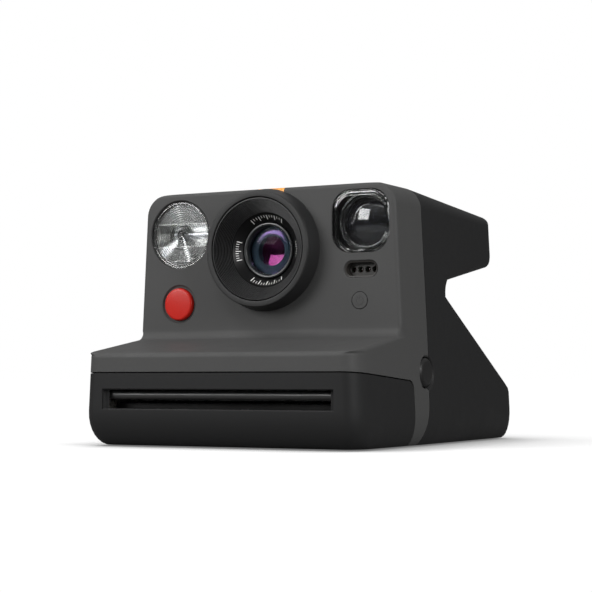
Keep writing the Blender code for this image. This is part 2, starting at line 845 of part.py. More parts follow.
def panel_button(name, x, z, radius, crown, finish, steps=28):
    """A round button in the front panel: a crowned cap on a stem that ends at its switch."""
    face = forward(PANEL_Y) + crown
    profile = [
        (0, face),
        (radius * 0.6, face - crown * 0.15),
        (radius * 0.92, face - crown * 0.55),
        (radius, face - crown * 0.55 - 0.0004),
        (radius, 0.036),
        (radius * 0.4, 0.036),
        (radius * 0.4, 0.0325),
        (0, 0.0325),
    ]
    button = turned(name, profile, (x, 0, z), finish, steps=steps)
    return set_origin(button, (x, PANEL_Y, z))


def front_buttons():
    panel_button("shutter_button", SHUTTER_X, SHUTTER_Z, SHUTTER_RADIUS, 0.0012, red_plastic())
    panel_button("self_timer_button", TIMER_X, TIMER_Z, TIMER_RADIUS, 0.0003, grey_plastic(), 20)
    box("shutter_board", (-0.045, -0.0308, 0.0458), (-0.03, -0.0298, 0.0584), board_laminate())
    box("timer_board", (0.0325, -0.0308, 0.0462), (0.0443, -0.0298, 0.0576), board_laminate())


def rear_controls():
    """Two buttons and the counter's window in the rear face of the hump."""
    face = HUMP_Y + 0.0004
    for name, x in REAR_BUTTONS.items():
        profile = [
            (0, face),
            (REAR_BUTTON_RADIUS * 0.85, face - 0.0001),
            (REAR_BUTTON_RADIUS, face - 0.0005),
            (REAR_BUTTON_RADIUS, 0.0545),
            (0.0015, 0.0545),
            (0.0015, 0.0522),
            (0, 0.0522),
        ]
        button = turned(name, profile, (x, 0, REAR_CONTROLS_Z), black_plastic(), BACKWARD, 20)
        set_origin(button, (x, face, REAR_CONTROLS_Z))
    box("counter_window", (-0.0049, 0.0553, 0.0755), (0.0049, 0.0571, 0.0835), coated_glass())
    box("rear_board", (-0.0425, 0.0498, 0.0735), (0.0075, 0.0508, 0.0858), board_laminate())


def gear_outline(teeth, centre, phase):
    """Trapezoid teeth on the pitch circle, with play between them and the mating wheel."""
    pitch = MODULE * teeth / 2
    tip, root = pitch + 0.85 * MODULE, pitch - 1.1 * MODULE
    step = 2 * math.pi / teeth
    points = []
    for tooth in range(teeth):
        middle = phase + tooth * step
        for radius, share in ((root, -0.30), (tip, -0.11), (tip, 0.11), (root, 0.30)):
            angle = middle + share * step
            points.append((centre[0] + radius * math.cos(angle), centre[1] + radius * math.sin(angle)))
    return points


def mesh_phase(driver_teeth, driver_phase, driver_centre, teeth, centre):
    """The turn of a gear that puts one of its gaps on the driver's tooth, on the line of centres."""
    line = math.atan2(centre[1] - driver_centre[1], centre[0] - driver_centre[0])
    offset = driver_phase - line
    return line + math.pi - offset * driver_teeth / teeth + math.pi / teeth


def idler_centre():
    """Where the idler touches both the drive gear and the roller's gear, on the upper side."""
    a, b = Vector(DRIVE_CENTRE), Vector(ROLLER_CENTRE)
    reach_a = MODULE * (DRIVE_TEETH + IDLER_TEETH) / 2
    reach_b = MODULE * (ROLLER_TEETH + IDLER_TEETH) / 2
    span = (b - a).length
    foot = (reach_a**2 - reach_b**2 + span**2) / (2 * span)
    line = (b - a) / span
    rise = math.sqrt(reach_a**2 - foot**2)
    return tuple(a + line * foot + Vector((line.y, -line.x)) * rise)


def gear(name, teeth, centre, phase, bore, finish):
    wheel = flat_outline(name, gear_outline(teeth, centre, phase), "X", GEAR_OUT_X, GEAR_IN_X, finish)
    hole = rod(name + "_bore", bore, (-0.06, *centre), (-0.04, *centre), sides=20)
    return set_origin(bake(cut(wheel, hole)), (GEAR_IN_X, *centre))


def drive():
    """The motor, its pinion, two gears on posts, and the gear on the lower roller."""
    idler = idler_centre()
    drive_phase = 0.0
    pinion_phase = mesh_phase(DRIVE_TEETH, drive_phase, DRIVE_CENTRE, PINION_TEETH, PINION_CENTRE)
    idler_phase = mesh_phase(DRIVE_TEETH, drive_phase, DRIVE_CENTRE, IDLER_TEETH, idler)
    roller_phase = mesh_phase(IDLER_TEETH, idler_phase, idler, ROLLER_TEETH, ROLLER_CENTRE)
    gear("drive_gear", DRIVE_TEETH, DRIVE_CENTRE, drive_phase, 0.00155, gear_plastic())
    gear("idler_gear", IDLER_TEETH, idler, idler_phase, 0.00155, gear_plastic())
    roller_bore = JOURNAL_RADIUS + 0.00003
    gear("roller_gear", ROLLER_TEETH, ROLLER_CENTRE, roller_phase, roller_bore, gear_plastic())
    pinion = flat_outline(
        "motor_pinion",
        gear_outline(PINION_TEETH, PINION_CENTRE, pinion_phase),
        "X",
        GEAR_OUT_X,
        GEAR_IN_X,
        steel(),
    )
    ends = ((-0.05, *PINION_CENTRE), (-0.044, *PINION_CENTRE))
    join(pinion, rod("pinion_shaft", 0.0008, *ends, sides=14))
    set_origin(bake(pinion), (GEAR_IN_X, *PINION_CENTRE))
    motor = rod("drive_motor", 0.0064, (-0.0466, *PINION_CENTRE), (-0.022, *PINION_CENTRE), steel(), 28)
    motor_bore = rod("motor_bore", 0.00095, (-0.05, *PINION_CENTRE), (-0.043, *PINION_CENTRE), sides=14)
    smooth(bake(cut(motor, motor_bore)))
    plate = flat_outline(
        "gear_plate",
        rounded(
            [
                (-0.0192, 0.0085, 0, 0),
                (-0.0192, 0.0366, 0.002, 0.002),
                (-0.0345, 0.0366, 0.002, 0.002),
                (-0.041, 0.0325, 0.002, 0.002),
                (-0.0575, 0.0285, 0.002, 0.002),
                (-0.0592, 0.0195, 0.002, 0.002),
                (-0.046, 0.0162, 0.002, 0.002),
                (-0.0275, 0.0085, 0, 0),
            ],
            steps=3,
        ),
        "X",
        -0.0482,
        -0.0469,
        steel(),
    )
    cut(plate, rod("shaft_hole", 0.0013, (-0.05, *PINION_CENTRE), (-0.045, *PINION_CENTRE), sides=16))
    for name, centre in (("drive_post", DRIVE_CENTRE), ("idler_post", idler)):
        join(plate, rod(name, JOURNAL_RADIUS, (GEAR_OUT_X - 0.0003, *centre), (-0.0476, *centre), sides=20))
    bake(plate)


def rollers():
    """The bracket in the door and the two steel rollers that turn in it."""
    plate_in, plate_out = 0.0452, 0.0464
    low, high = (-plate_out, -0.0655, 0.0052), (plate_out, -0.0548, 0.0243)
    bracket = box("roller_bracket", low, high, steel())
    cut(bracket, box("bracket_space", (-plate_in, -0.07, 0.0064), (plate_in, -0.05, 0.03)))
    for name, z in (("upper_roller", UPPER_ROLLER_Z), ("lower_roller", LOWER_ROLLER_Z)):
        bearing = JOURNAL_RADIUS + 0.00005
        cut(bracket, rod(name + "_bearing", bearing, (-0.05, ROLLER_Y, z), (0.05, ROLLER_Y, z), sides=20))
        left = GEAR_OUT_X - 0.0004 if name == "lower_roller" else -0.0468
        profile = [
            (0, 0.0468),
            (JOURNAL_RADIUS, 0.0468),
            (JOURNAL_RADIUS, 0.0448),
            (ROLLER_RADIUS, 0.0448),
            (ROLLER_RADIUS, -0.0448),
            (JOURNAL_RADIUS, -0.0448),
            (JOURNAL_RADIUS, left),
            (0, left),
        ]
        roller = turned(name, profile, (0, ROLLER_Y, z), steel(), Vector((1, 0, 0)), 24)
        set_origin(roller, (0, ROLLER_Y, z))
    bake(bracket)
    # The shield is a sheet wound on itself that uncurls over each picture as it comes out.
    turned(
        "film_shield",
        [(0.0018, 0.0461), (0.0018, -0.0461), (0.0012, -0.0461), (0.0012, 0.0461)],
        (0, -0.0702, 0.0182),
        inner_plastic(),
        Vector((1, 0, 0)),
        20,
    )


def film_chamber():
    """The chamber that takes the film pack from the front, with the picture gate in its top."""
    wall = CHAMBER_WALL
    chamber = box(
        "film_chamber",
        (-CHAMBER_HALF_WIDTH - wall, CHAMBER_FRONT_Y, CHAMBER_LOW_Z - wall),
        (CHAMBER_HALF_WIDTH + wall, CHAMBER_REAR_Y + wall, CHAMBER_HIGH_Z + wall),
        inner_plastic(),
    )
    space = box(
        "pack_space",
        (-CHAMBER_HALF_WIDTH, CHAMBER_FRONT_Y - 0.01, CHAMBER_LOW_Z),
        (CHAMBER_HALF_WIDTH, CHAMBER_REAR_Y, CHAMBER_HIGH_Z),
    )
    gate = box("picture_gate", (-0.0395, -0.0162, 0.01), (0.0395, 0.0592, 0.03))
    hook_way = box("hook_way", (0.04, 0.0495, 0.0125), (0.05, 0.0636, 0.0178))
    bake(cut(chamber, space, gate, hook_way))


def dark_chamber():
    """The black box that keeps stray light off the path from the lens to the mirror and the film."""
    slope = (BACK_TOP_Z - WAIST_LOW_Z) / (REAR_Y - WAIST_Y)
    wall = CHAMBER_WALL
    front, low, top = SEAM_Y - 0.0018, 0.0205, 0.0845
    rear_top, rear_low = -0.0085, 0.0015
    bend = WAIST_LOW_Z - 0.0055 + slope * (rear_low - WAIST_Y)
    outer_side = [
        (front, low),
        (rear_low + (low - bend) / slope, low),
        (rear_low, bend),
        (rear_top, top),
        (front, top),
    ]
    hollow_side = [
        (front + wall, 0),
        (REAR_Y, 0),
        (REAR_Y, bend + 0.0008),
        (rear_low - wall * 1.25, bend + 0.0008),
        (rear_top - wall * 0.75, top - wall),
        (front + wall, top - wall),
    ]

    def front_view(wide, narrow, high):
        right = [(wide, -0.01), (wide, 0.038), (narrow, 0.0655), (narrow, high)]
        return [(-x, z) for x, z in right[::-1]] + right

    chamber = flat_outline("dark_chamber", outer_side, "X", -0.06, 0.06, inner_plastic())
    keep(chamber, flat_outline("chamber_front", front_view(0.0452, 0.0215, 0.1), "Y", -0.05, 0.09))
    hollow = flat_outline("chamber_hollow", hollow_side, "X", -0.06, 0.06)
    hollow_front = front_view(0.0452 - wall, 0.0215 - wall, 0.1)
    keep(hollow, flat_outline("chamber_hollow_front", hollow_front, "Y", -0.05, 0.09))
    aperture = rod("chamber_aperture", 0.0062, (0, -0.03, LENS_Z), (0, -0.01, LENS_Z), sides=28)
    bake(cut(chamber, bake(hollow), aperture))
    # The mirror lies against the rear slope and turns the picture down on to the film.
    lift = Vector((-slope, 1)).normalized()
    top = Vector((WAIST_Y + 0.005, WAIST_LOW_Z + slope * 0.005))
    foot_y = 0.0605
    foot = Vector((foot_y, WAIST_LOW_Z + slope * (foot_y - WAIST_Y)))
    near, far = 0.0028, 0.0046
    outline = [
        tuple(top - lift * near),
        tuple(top - lift * far),
        tuple(foot - lift * far),
        tuple(foot - lift * near),
    ]
    mirror = flat_outline("mirror", outline, "X", -0.06, 0.06, mirror_glass())
    trapezoid = [
        (-0.0445, 0.03),
        (-0.022, 0.0),
        (0.022, 0.0),
        (0.0445, 0.03),
        (0.0445, 0.08),
        (-0.0445, 0.08),
    ]
    bake(keep(mirror, flat_outline("mirror_shape", trapezoid, "Z", -0.1, 0.2)))


def pick_arm():
    """The strip beside the chamber whose hook pushes the top picture out of the pack."""
    outline = [
        (-0.024, 0.0135),
        (0.0625, 0.0135),
        (0.0625, 0.0172),
        (0.0, 0.0172),
        (-0.006, 0.0195),
        (-0.024, 0.0195),
    ]
    arm = flat_outline("pick_arm", outline, "X", 0.0468, 0.0477, steel())
    join(arm, box("pick_hook", (0.0436, 0.0614, 0.0138), (0.0472, 0.0625, 0.0169)))
    set_origin(bake(arm), (0.0472, 0.0, 0.0155))


def electronics():
    box("main_board", (-0.0235, 0.0062, 0.0722), (0.0245, 0.0478, 0.0736), board_laminate())
    box("battery", (-0.0478, 0.0135, 0.0715), (-0.0262, 0.0485, 0.078), battery_wrap())
    shell_half_width = half_width(0.0345)
    port = box("usb_port", (-shell_half_width + 0.0006, 0.0003, 0.0331), (-0.0485, 0.0077, 0.0359), steel())
    bake(cut(port, box("port_mouth", (-0.06, 0.0007, 0.0335), (-0.0492, 0.0073, 0.0355))))


def inlay_form(name, margin, finish=None):
    """A strip that runs along the top and folds over the front edge, or the recess that takes it."""
    thick = 0.0006 + margin
    ahead, above = (0.005, 0.005) if margin else (0, 0)
    bend = 0 if margin else 0.0013
    outline = rounded(
        [
            (PANEL_Y - ahead, 0.092 - margin, 0, 0),
            (PANEL_Y + thick, 0.092 - margin, 0, 0),
            (PANEL_Y + thick, HEIGHT - thick, 0, 0),
            (-0.0203 + margin, HEIGHT - thick, 0, 0),
            (-0.0203 + margin, HEIGHT + above, 0, 0),
            (PANEL_Y - ahead, HEIGHT + above, bend, bend),
        ],
        steps=3,
    )
    half = 0.0056 + margin
    return flat_outline(name, outline, "X", INLAY_X - half, INLAY_X + half, finish)


def top_inlay():
    """A plain coloured strip let into the top edge above the lens."""
    inlay_form("top_inlay", 0, amber_plastic())


def cover_screws():
    for i, (x, y) in enumerate(SCREW_PLACES, 1):
        profile = [
            (0, 0.0027),
            (0.0009, 0.0027),
            (0.0009, 0.001),
            (0.0022, 0.001),
            (0.0022, 0.0004),
            (0, 0.0004),
        ]
        turned(f"cover_screw_{i}", profile, (x, y, 0), steel(), Vector((0, 0, 1)), 16)


front_cover()
rear_cover()
film_door()
hinge_pins()
release_and_latch()
lens()
shutter()
flash()
viewfinder()
sensors()
front_buttons()
rear_controls()
drive()
rollers()
film_chamber()
dark_chamber()
pick_arm()
electronics()
top_inlay()
cover_screws()
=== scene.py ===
import math

import bmesh
import bpy
import numpy as np
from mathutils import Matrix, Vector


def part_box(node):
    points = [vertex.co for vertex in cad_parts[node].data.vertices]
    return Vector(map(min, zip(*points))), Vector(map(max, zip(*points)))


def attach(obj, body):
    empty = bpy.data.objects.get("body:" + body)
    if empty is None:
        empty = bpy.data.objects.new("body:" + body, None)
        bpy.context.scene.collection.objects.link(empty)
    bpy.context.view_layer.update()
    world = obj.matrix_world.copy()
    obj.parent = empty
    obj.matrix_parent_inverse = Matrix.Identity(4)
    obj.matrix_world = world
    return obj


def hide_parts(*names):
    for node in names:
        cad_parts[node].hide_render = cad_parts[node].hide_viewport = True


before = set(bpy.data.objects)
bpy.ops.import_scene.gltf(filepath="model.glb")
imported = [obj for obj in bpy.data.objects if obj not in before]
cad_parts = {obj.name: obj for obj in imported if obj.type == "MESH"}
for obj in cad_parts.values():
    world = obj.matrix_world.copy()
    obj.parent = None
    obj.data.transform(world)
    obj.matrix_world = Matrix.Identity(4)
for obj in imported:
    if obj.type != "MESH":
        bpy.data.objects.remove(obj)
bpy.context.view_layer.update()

# ---- The studio ----
# A white sweep lit by three soft boxes, in front, overhead and on the right, with the studio's own camera
# low in front of the object's right corner, looking slightly up. None of it belongs to the object.

YAW = math.radians(28.46)
PITCH = math.radians(2.90)
CAMERA_PLACE = (0.29763, -0.56398, 0.02378)

studio = bpy.context.scene
studio.view_settings.view_transform = "Standard"
lens_data = bpy.data.cameras.new("studio_camera")
lens_data.sensor_width = 36.0
lens_data.lens = 100.34
studio_camera = bpy.data.objects.new("studio_camera", lens_data)
studio_camera.location = CAMERA_PLACE
studio_camera.rotation_euler = (math.pi / 2 + PITCH, 0, YAW)
studio.collection.objects.link(studio_camera)
studio.camera = studio_camera


def softbox(name, place, aim, size, power):
    """A rectangular area light at a place, turned so that it shines at a point."""
    data = bpy.data.lights.new(name, "AREA")
    data.shape = "RECTANGLE"
    data.size, data.size_y = size
    data.energy = power
    light = bpy.data.objects.new(name, data)
    reach = np.subtract(aim, place)
    flat = math.hypot(reach[0], reach[1])
    light.rotation_euler = (math.atan2(flat, -reach[2]), 0, math.atan2(-reach[0], reach[1]))
    light.location = place
    studio.collection.objects.link(light)


softbox("front_light", (-0.46, -0.74, 0.40), (0, 0, 0.05), (0.46, 0.36), 5.4)
softbox("top_light", (-0.22, -0.34, 0.68), (0, -0.02, 0.05), (1.10, 0.20), 3.0)
softbox("right_light", (0.80, -0.30, 0.30), (0, 0, 0.05), (0.30, 0.40), 5.0)


def mesh_object(name, points, faces):
    """An object whose mesh has these points and faces, linked to the scene."""
    mesh = bpy.data.meshes.new(name)
    mesh.from_pydata(np.asarray(points).reshape(-1, 3), [], faces)
    mesh.update()
    made = bpy.data.objects.new(name, mesh)
    studio.collection.objects.link(made)
    return made


def join(made, links):
    """Joins a node's inputs, each to a node's first output or to a given output, or sets it to a constant."""
    for key, source in links:
        source = getattr(source, "outputs", [source])[0]
        if isinstance(source, bpy.types.NodeSocket):
            made.id_data.links.new(source, made.inputs[key])
        else:
            made.inputs[key].default_value = source


def node(tree, kind, links=(), **values):
    """A shader node: values set its own settings or its inputs by name, then its links are joined."""
    made = tree.nodes.new("ShaderNode" + kind)
    for key, value in values.items():
        if hasattr(made, key):
            setattr(made, key, value)
        else:
            made.inputs[key.replace("_", " ")].default_value = value
    join(made, links)
    return made


WHITE = (1, 1, 1, 1)
world = bpy.data.worlds.new("studio_white")
studio.world = world
world.use_nodes = True
sky = world.node_tree
rays = node(sky, "LightPath")
upward = node(sky, "SeparateXYZ", [(0, node(sky, "TexCoord").outputs["Generated"])])
ceiling = node(sky, "MapRange", [("Value", upward.outputs["Z"])],
               From_Min=0.18, From_Max=0.75, To_Min=0.05, To_Max=0.55)
shown = sky.nodes["Background"]
shown.inputs["Color"].default_value = WHITE
for ray, strength in (("Is Glossy Ray", ceiling), ("Is Diffuse Ray", 0.36)):
    dim = node(sky, "Background", [("Strength", strength)], Color=WHITE)
    shown = node(sky, "MixShader", [("Fac", rays.outputs[ray]), (1, shown), (2, dim)])
join(sky.nodes["World Output"], [("Surface", shown)])

FLOOR_HALF, FLOOR_Z = 40.0, -0.0002
floor_corners = np.array([(-1, -1, 0), (1, -1, 0), (1, 1, 0), (-1, 1, 0)]) * FLOOR_HALF + (0, 0, FLOOR_Z)
studio_floor = mesh_object("studio_floor", floor_corners, [(0, 1, 2, 3)])
floor_paint = bpy.data.materials.new("white_sweep")
floor_paint.use_nodes = True
sweep = floor_paint.node_tree
sweep.nodes.remove(sweep.nodes["Principled BSDF"])
bounce = node(sweep, "BsdfDiffuse", Color=(0.24, 0.24, 0.24, 1.0))
near = node(sweep, "BsdfDiffuse", Color=(1.08, 1.08, 1.08, 1.0))
far = node(sweep, "Emission", Strength=1.02)
floor_place = node(sweep, "TexCoord").outputs["Object"]
from_middle = node(sweep, "VectorMath", [(0, floor_place)], operation="LENGTH").outputs["Value"]
fade = node(sweep, "MapRange", [("Value", from_middle)], interpolation_type="SMOOTHSTEP",
            From_Min=0.07, From_Max=0.16, To_Min=0.4)
open_floor = node(sweep, "MixShader", [("Fac", fade), (1, near), (2, far)])
# Painted shadow: the ambient occlusion darkens the floor round the object's base towards a dim emission, a
# painted contact shadow.
open_share = node(sweep, "AmbientOcclusion", samples=12, Distance=0.03)
painted_contact_shadow = node(sweep, "MapRange", [("Value", open_share.outputs["AO"])],
               From_Min=0.3, From_Max=0.95, To_Min=0.7, To_Max=0.0)
shade = node(sweep, "Emission", Strength=0.06)
shaded_floor = node(sweep, "MixShader", [("Fac", painted_contact_shadow), (1, open_floor), (2, shade)])
from_camera = node(sweep, "LightPath").outputs["Is Camera Ray"]
either = node(sweep, "MixShader", [("Fac", from_camera), (1, bounce), (2, shaded_floor)])
join(sweep.nodes["Material Output"], [("Surface", either)])
studio_floor.data.materials.append(floor_paint)

# ---- Moulded plastics ----
# The covers and buttons are injection-moulded ABS with a fine spark-eroded texture. The grain is a quarter
# of a millimetre, and handling leaves faint smears and short scuffs that change the gloss, not the colour.


def principled(name, colour, roughness, **inputs):
    """A new material with its Principled shader's constant inputs set, and that shader."""
    made = bpy.data.materials.new(name)
    made.use_nodes = True
    shader = made.node_tree.nodes["Principled BSDF"]
    shader.inputs["Base Color"].default_value = (*colour, 1.0)
    shader.inputs["Roughness"].default_value = roughness
    for key, value in inputs.items():
        shader.inputs[key.replace("_", " ")].default_value = value
    return made, shader


def smooth(name, colour, roughness, smear=0.03, **inputs):
    """A polished finish: broad noise raises the roughness a little, as faint dust and handling do."""
    made, shader = principled(name, colour, roughness, **inputs)
    tree = made.node_tree
    place = node(tree, "TexCoord").outputs["Object"]
    broad = node(tree, "TexNoise", [("Vector", place)], Scale=160.0, Detail=5.0, Roughness=0.6)
    dull = node(tree, "MapRange", [("Value", broad)],
                From_Min=0.45, From_Max=0.75, To_Min=roughness, To_Max=roughness + smear)
    join(shader, [("Roughness", dull)])
    return made, shader


def ramp(tree, source, *stops):
    """A colour ramp on a node's first output: each of its two stops is a place on the ramp and a colour."""
    made = node(tree, "ValToRGB", [("Fac", source)])
    for element, (place, colour) in zip(made.color_ramp.elements, stops):
        element.position = place
        element.color = (*colour, 1.0)
    return made


def moulded(name, colour, roughness, grain=0.00025, depth=0.00002, gloss=0.25):
    """Textured plastic: fine noise gives the grain's height and tint, broad noise the smears' roughness, and
    noise stretched along one axis the scuffs, which take a little off that roughness.
    """
    made, shader = principled(name, colour, roughness, Specular_IOR_Level=gloss)
    tree = made.node_tree
    place = node(tree, "TexCoord").outputs["Object"]
    fine = node(tree, "TexNoise", [("Vector", place)], Scale=1 / grain, Detail=3.0, Roughness=0.6)
    broad = node(tree, "TexNoise", [("Vector", place)], Scale=45.0, Detail=4.0, Roughness=0.55)
    stretched = node(tree, "Mapping", [("Vector", place)], Rotation=(0.4, 0.9, 0.3), Scale=(1, 9, 1))
    scuffs = node(tree, "TexNoise", [("Vector", stretched)], Scale=260.0, Detail=2.0)
    scuff = node(tree, "MapRange", [("Value", scuffs)], From_Min=0.66, From_Max=0.74, To_Max=-0.07)
    smear = node(tree, "MapRange", [("Value", broad)],
                 From_Min=0.3, From_Max=0.7, To_Min=roughness - 0.05, To_Max=roughness + 0.06)
    total = node(tree, "Math", [(0, smear), (1, scuff)], operation="ADD")
    tint = ramp(tree, fine, (0.3, np.multiply(colour, 0.93)), (0.7, np.multiply(colour, 1.07)))
    bump = node(tree, "Bump", [("Height", fine)], Strength=0.5, Distance=depth)
    join(shader, [("Roughness", total), ("Base Color", tint), ("Normal", bump)])
    return made


GREY_PLASTIC = moulded("grey_moulding", (0.054, 0.054, 0.0535), 0.55, gloss=0.16)
BLACK_PLASTIC = moulded("black_moulding", (0.0158, 0.0158, 0.0161), 0.52, gloss=0.13)
INNER_PLASTIC = moulded("matt_black_inside", (0.006, 0.006, 0.006), 0.62, gloss=0.2)

# ---- The covers' common skin ----
# All three mouldings share one outer form: a deep chin, a shelf, an upright panel, a hump that overhangs a
# waist, and a slope to the back. Its sides lean in, and every edge is eased by its own radius.

CAD = {name: [np.array(corner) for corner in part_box(name)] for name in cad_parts}
BODY_LOW = np.minimum(CAD["film_door"][0], CAD["rear_cover"][0])
BODY_HIGH = np.maximum(CAD["front_cover"][1], CAD["rear_cover"][1])
FRONT_Y, REAR_Y, TOP_Z = BODY_LOW[1], BODY_HIGH[1], BODY_HIGH[2]
SIDE_EXCESS = 0.00003
HALF_WIDTH = BODY_HIGH[0] - SIDE_EXCESS
PANEL_Y = -0.0382
SEAM_Y = -0.016
PANEL_BASE_Z, CHIN_TOP_Z, BACK_TOP_Z = 0.0392, 0.0332, 0.0183
WAIST_Y, WAIST_LOW_Z, WAIST_HIGH_Z = 0.0052, 0.055, 0.0606
HUMP_Y, HUMP_LOW_Z, HUMP_TOP_Z = 0.0575, 0.0693, 0.0894
SIDE_LEAN, REAR_TAPER = 0.049, 0.003
BASE_OUT, BASE_SIDE, BASE_UP = 0.008, 0.005, 0.0125
TOP_ROUND, HUMP_REAR_ROUND = 0.008, 0.0045
CHIN_ROUND, SHELF_EASE, PANEL_EASE, BACK_ROUND = 0.0092, 0.0013, 0.0015, 0.007
WALL = 0.002
PLAY = 0.0003


def rounded(corners, steps=8):
    """An open chain of points: each (u, v, before, after) corner becomes the quarter of an ellipse that
    touches its two sides at those reaches, u = corner + before (1 - sin a) + after (1 - cos a).
    """
    corners = np.asarray(corners, float)
    places = corners[:, :2]
    chain = [places[:1]]
    arc = np.linspace(0, np.pi / 2, steps + 1)[:, None]
    for last, here, after, (before_reach, after_reach) in zip(
        places[:-2], places[1:-1], places[2:], corners[1:-1, 2:]
    ):
        back = (last - here) / np.linalg.norm(last - here) * before_reach
        ahead = (after - here) / np.linalg.norm(after - here) * after_reach
        bend = here + back * (1 - np.sin(arc)) + ahead * (1 - np.cos(arc))
        chain.append(bend if before_reach else here[None])
    chain.append(places[-1:])
    return np.concatenate(chain)


def inward(corners, depth):
    """The corners of a chain moved to its left by a depth, as its wall's inner face has them."""
    corners = np.asarray(corners, float)
    step = np.diff(corners[:, :2], axis=0)
    step /= np.linalg.norm(step, axis=1)[:, None]
    left = np.stack([-step[:, 1], step[:, 0]], axis=1)
    first, last = left[:-1], left[1:]
    middle = (first + last) / np.linalg.norm(first + last, axis=1)[:, None]
    shift = np.concatenate([left[:1], middle / (middle * first).sum(1)[:, None], left[-1:]])
    moved = corners.copy()
    moved[:, :2] += shift * depth
    moved[:, 2:] = np.where(corners[:, 2:] > 0, np.maximum(corners[:, 2:] - depth, depth / 4), 0)
    return moved


def corner_arc(t, reach_x, reach_y):
    """A corner's offsets from the side and from the front, a quarter ellipse: reach (1 - sin t) and
    reach (1 - cos t).
    """
    return reach_x * (1 - np.sin(t)), reach_y * (1 - np.cos(t))


def body_form(name, depth):
    """The closed body as a stack of level sections. Each section runs from the front chain to the rear chain
    at its height; its half width is the leaning side less the rounds of the base and the top, and its four
    corners are quarter ellipses whose reaches change with height.
    """
    front = [
        (0, 0, 0, 0),
        (FRONT_Y, 0, BASE_OUT, BASE_UP),
        (FRONT_Y, CHIN_TOP_Z, 0.0016, 0.0016),
        (PANEL_Y, PANEL_BASE_Z, 0.003, 0.003),
        (PANEL_Y, TOP_Z, 0.0014, 0.0014),
        (SEAM_Y, TOP_Z, 0, 0),
    ]
    rear = [
        (0, 0, 0, 0),
        (REAR_Y, 0, BASE_OUT, BASE_UP),
        (REAR_Y, BACK_TOP_Z, 0.001, 0.001),
        (WAIST_Y, WAIST_LOW_Z, 0.0006, 0.0006),
        (WAIST_Y, WAIST_HIGH_Z, 0.005, 0.005),
        (HUMP_Y, HUMP_LOW_Z, 0.0045, 0.0045),
        (HUMP_Y, HUMP_TOP_Z, 0.0032, 0.0032),
        (SEAM_Y, TOP_Z, 0.003, 0.003),
        (SEAM_Y - 0.01, TOP_Z, 0, 0),
    ]
    mirrored = [(-y, z, a, b) for y, z, a, b in front]
    front = rounded(inward(mirrored, depth)) * (-1, 1)
    rear = rounded(inward(rear, depth))
    low, high = depth, TOP_Z - depth

    def spread(chain):
        """Heights between a chain's points, more of them on its longer runs."""
        run = np.linalg.norm(np.diff(chain, axis=0), axis=1)
        parts = np.maximum(1, np.ceil(run / 0.0035)).astype(int)
        pieces = [np.linspace(a, b, n, endpoint=False) for a, b, n in zip(chain[:-1, 1], chain[1:, 1], parts)]
        return np.concatenate(pieces)

    top_arc = high - TOP_ROUND * (1 - np.sin(np.linspace(0, np.pi / 2, 14)))
    levels = np.concatenate([spread(front), spread(rear), top_arc, [low, high]])
    levels = np.unique(np.round(np.clip(levels, low, high), 6))
    keep = np.concatenate([[True], np.diff(levels) > 0.00003])
    keep[-1] = True
    levels = levels[keep]

    def along_chain(chain, values):
        """Values given at a chain's heights, read at the levels."""
        heights = np.maximum.accumulate(chain[:, 1] + np.arange(len(chain)) * 1e-9)
        return np.interp(levels, heights, values)

    front_y = along_chain(front, front[:, 0])
    rear_y = along_chain(rear, rear[:, 0])
    shelf = (PANEL_BASE_Z - CHIN_TOP_Z) / (PANEL_Y - FRONT_Y)
    shelf_reach = SHELF_EASE / math.sin(math.atan(shelf))
    front_heights = [CHIN_TOP_Z - 0.0016, CHIN_TOP_Z + 0.0007, PANEL_BASE_Z - 0.0006, PANEL_BASE_Z + 0.003]
    front_reach_y = np.interp(levels, front_heights, [CHIN_ROUND, shelf_reach, shelf_reach, PANEL_EASE])
    front_reach_x = np.interp(levels, front_heights, [CHIN_ROUND, SHELF_EASE, SHELF_EASE, PANEL_EASE])
    rear_heights = [BACK_TOP_Z - 0.0012, BACK_TOP_Z + 0.0008, WAIST_HIGH_Z, HUMP_LOW_Z + 0.003]
    rear_heights += [HUMP_TOP_Z - 0.004, HUMP_TOP_Z]
    rear_reach_x = np.interp(levels, rear_heights, [0.0006, 0.0016, 0.0015, 0.003, 0.003, 0.0])
    lean_back = np.clip(np.abs(np.gradient(rear_y, levels)), 0, 6.1)
    lean_back *= (levels > BASE_UP) & (levels < HUMP_TOP_Z - 0.0035)
    rear_reach_y = rear_reach_x * np.sqrt(1 + lean_back**2)

    base = rounded(inward([(0, 0, 0, 0), (HALF_WIDTH + SIDE_LEAN * BASE_UP, 0, BASE_SIDE, BASE_UP),
                           (HALF_WIDTH - SIDE_LEAN * (TOP_Z - BASE_UP), TOP_Z, 0, 0)], depth), 16)
    side_x = np.interp(levels, base[:, 1] + np.arange(len(base)) * 1e-9, base[:, 0])
    fall = (TOP_Z - HUMP_TOP_Z) / (HUMP_Y - SEAM_Y)
    back_round = BACK_ROUND - depth

    def half_width(y, z_level, x_level):
        """The side's x, less the taper behind the seam, the round of the back's corner, and the round that
        follows the falling top and tightens towards the back.
        """
        taper = REAR_TAPER * np.clip((y - SEAM_Y) / (REAR_Y - SEAM_Y), 0, 1)
        into_corner = np.clip((y - (REAR_Y - depth - back_round)) / back_round, 0, 1)
        corner = back_round * (1 - np.sqrt(1 - into_corner**2))
        crest = high - fall * np.maximum(y - SEAM_Y, 0)
        tighten = np.clip((y - SEAM_Y) / (HUMP_Y - SEAM_Y), 0, 1)
        top_round = TOP_ROUND + (HUMP_REAR_ROUND - TOP_ROUND) * tighten
        under = np.clip(top_round - (crest - z_level), 0, top_round)
        return x_level - taper - corner - (top_round - np.sqrt(top_round**2 - under**2))

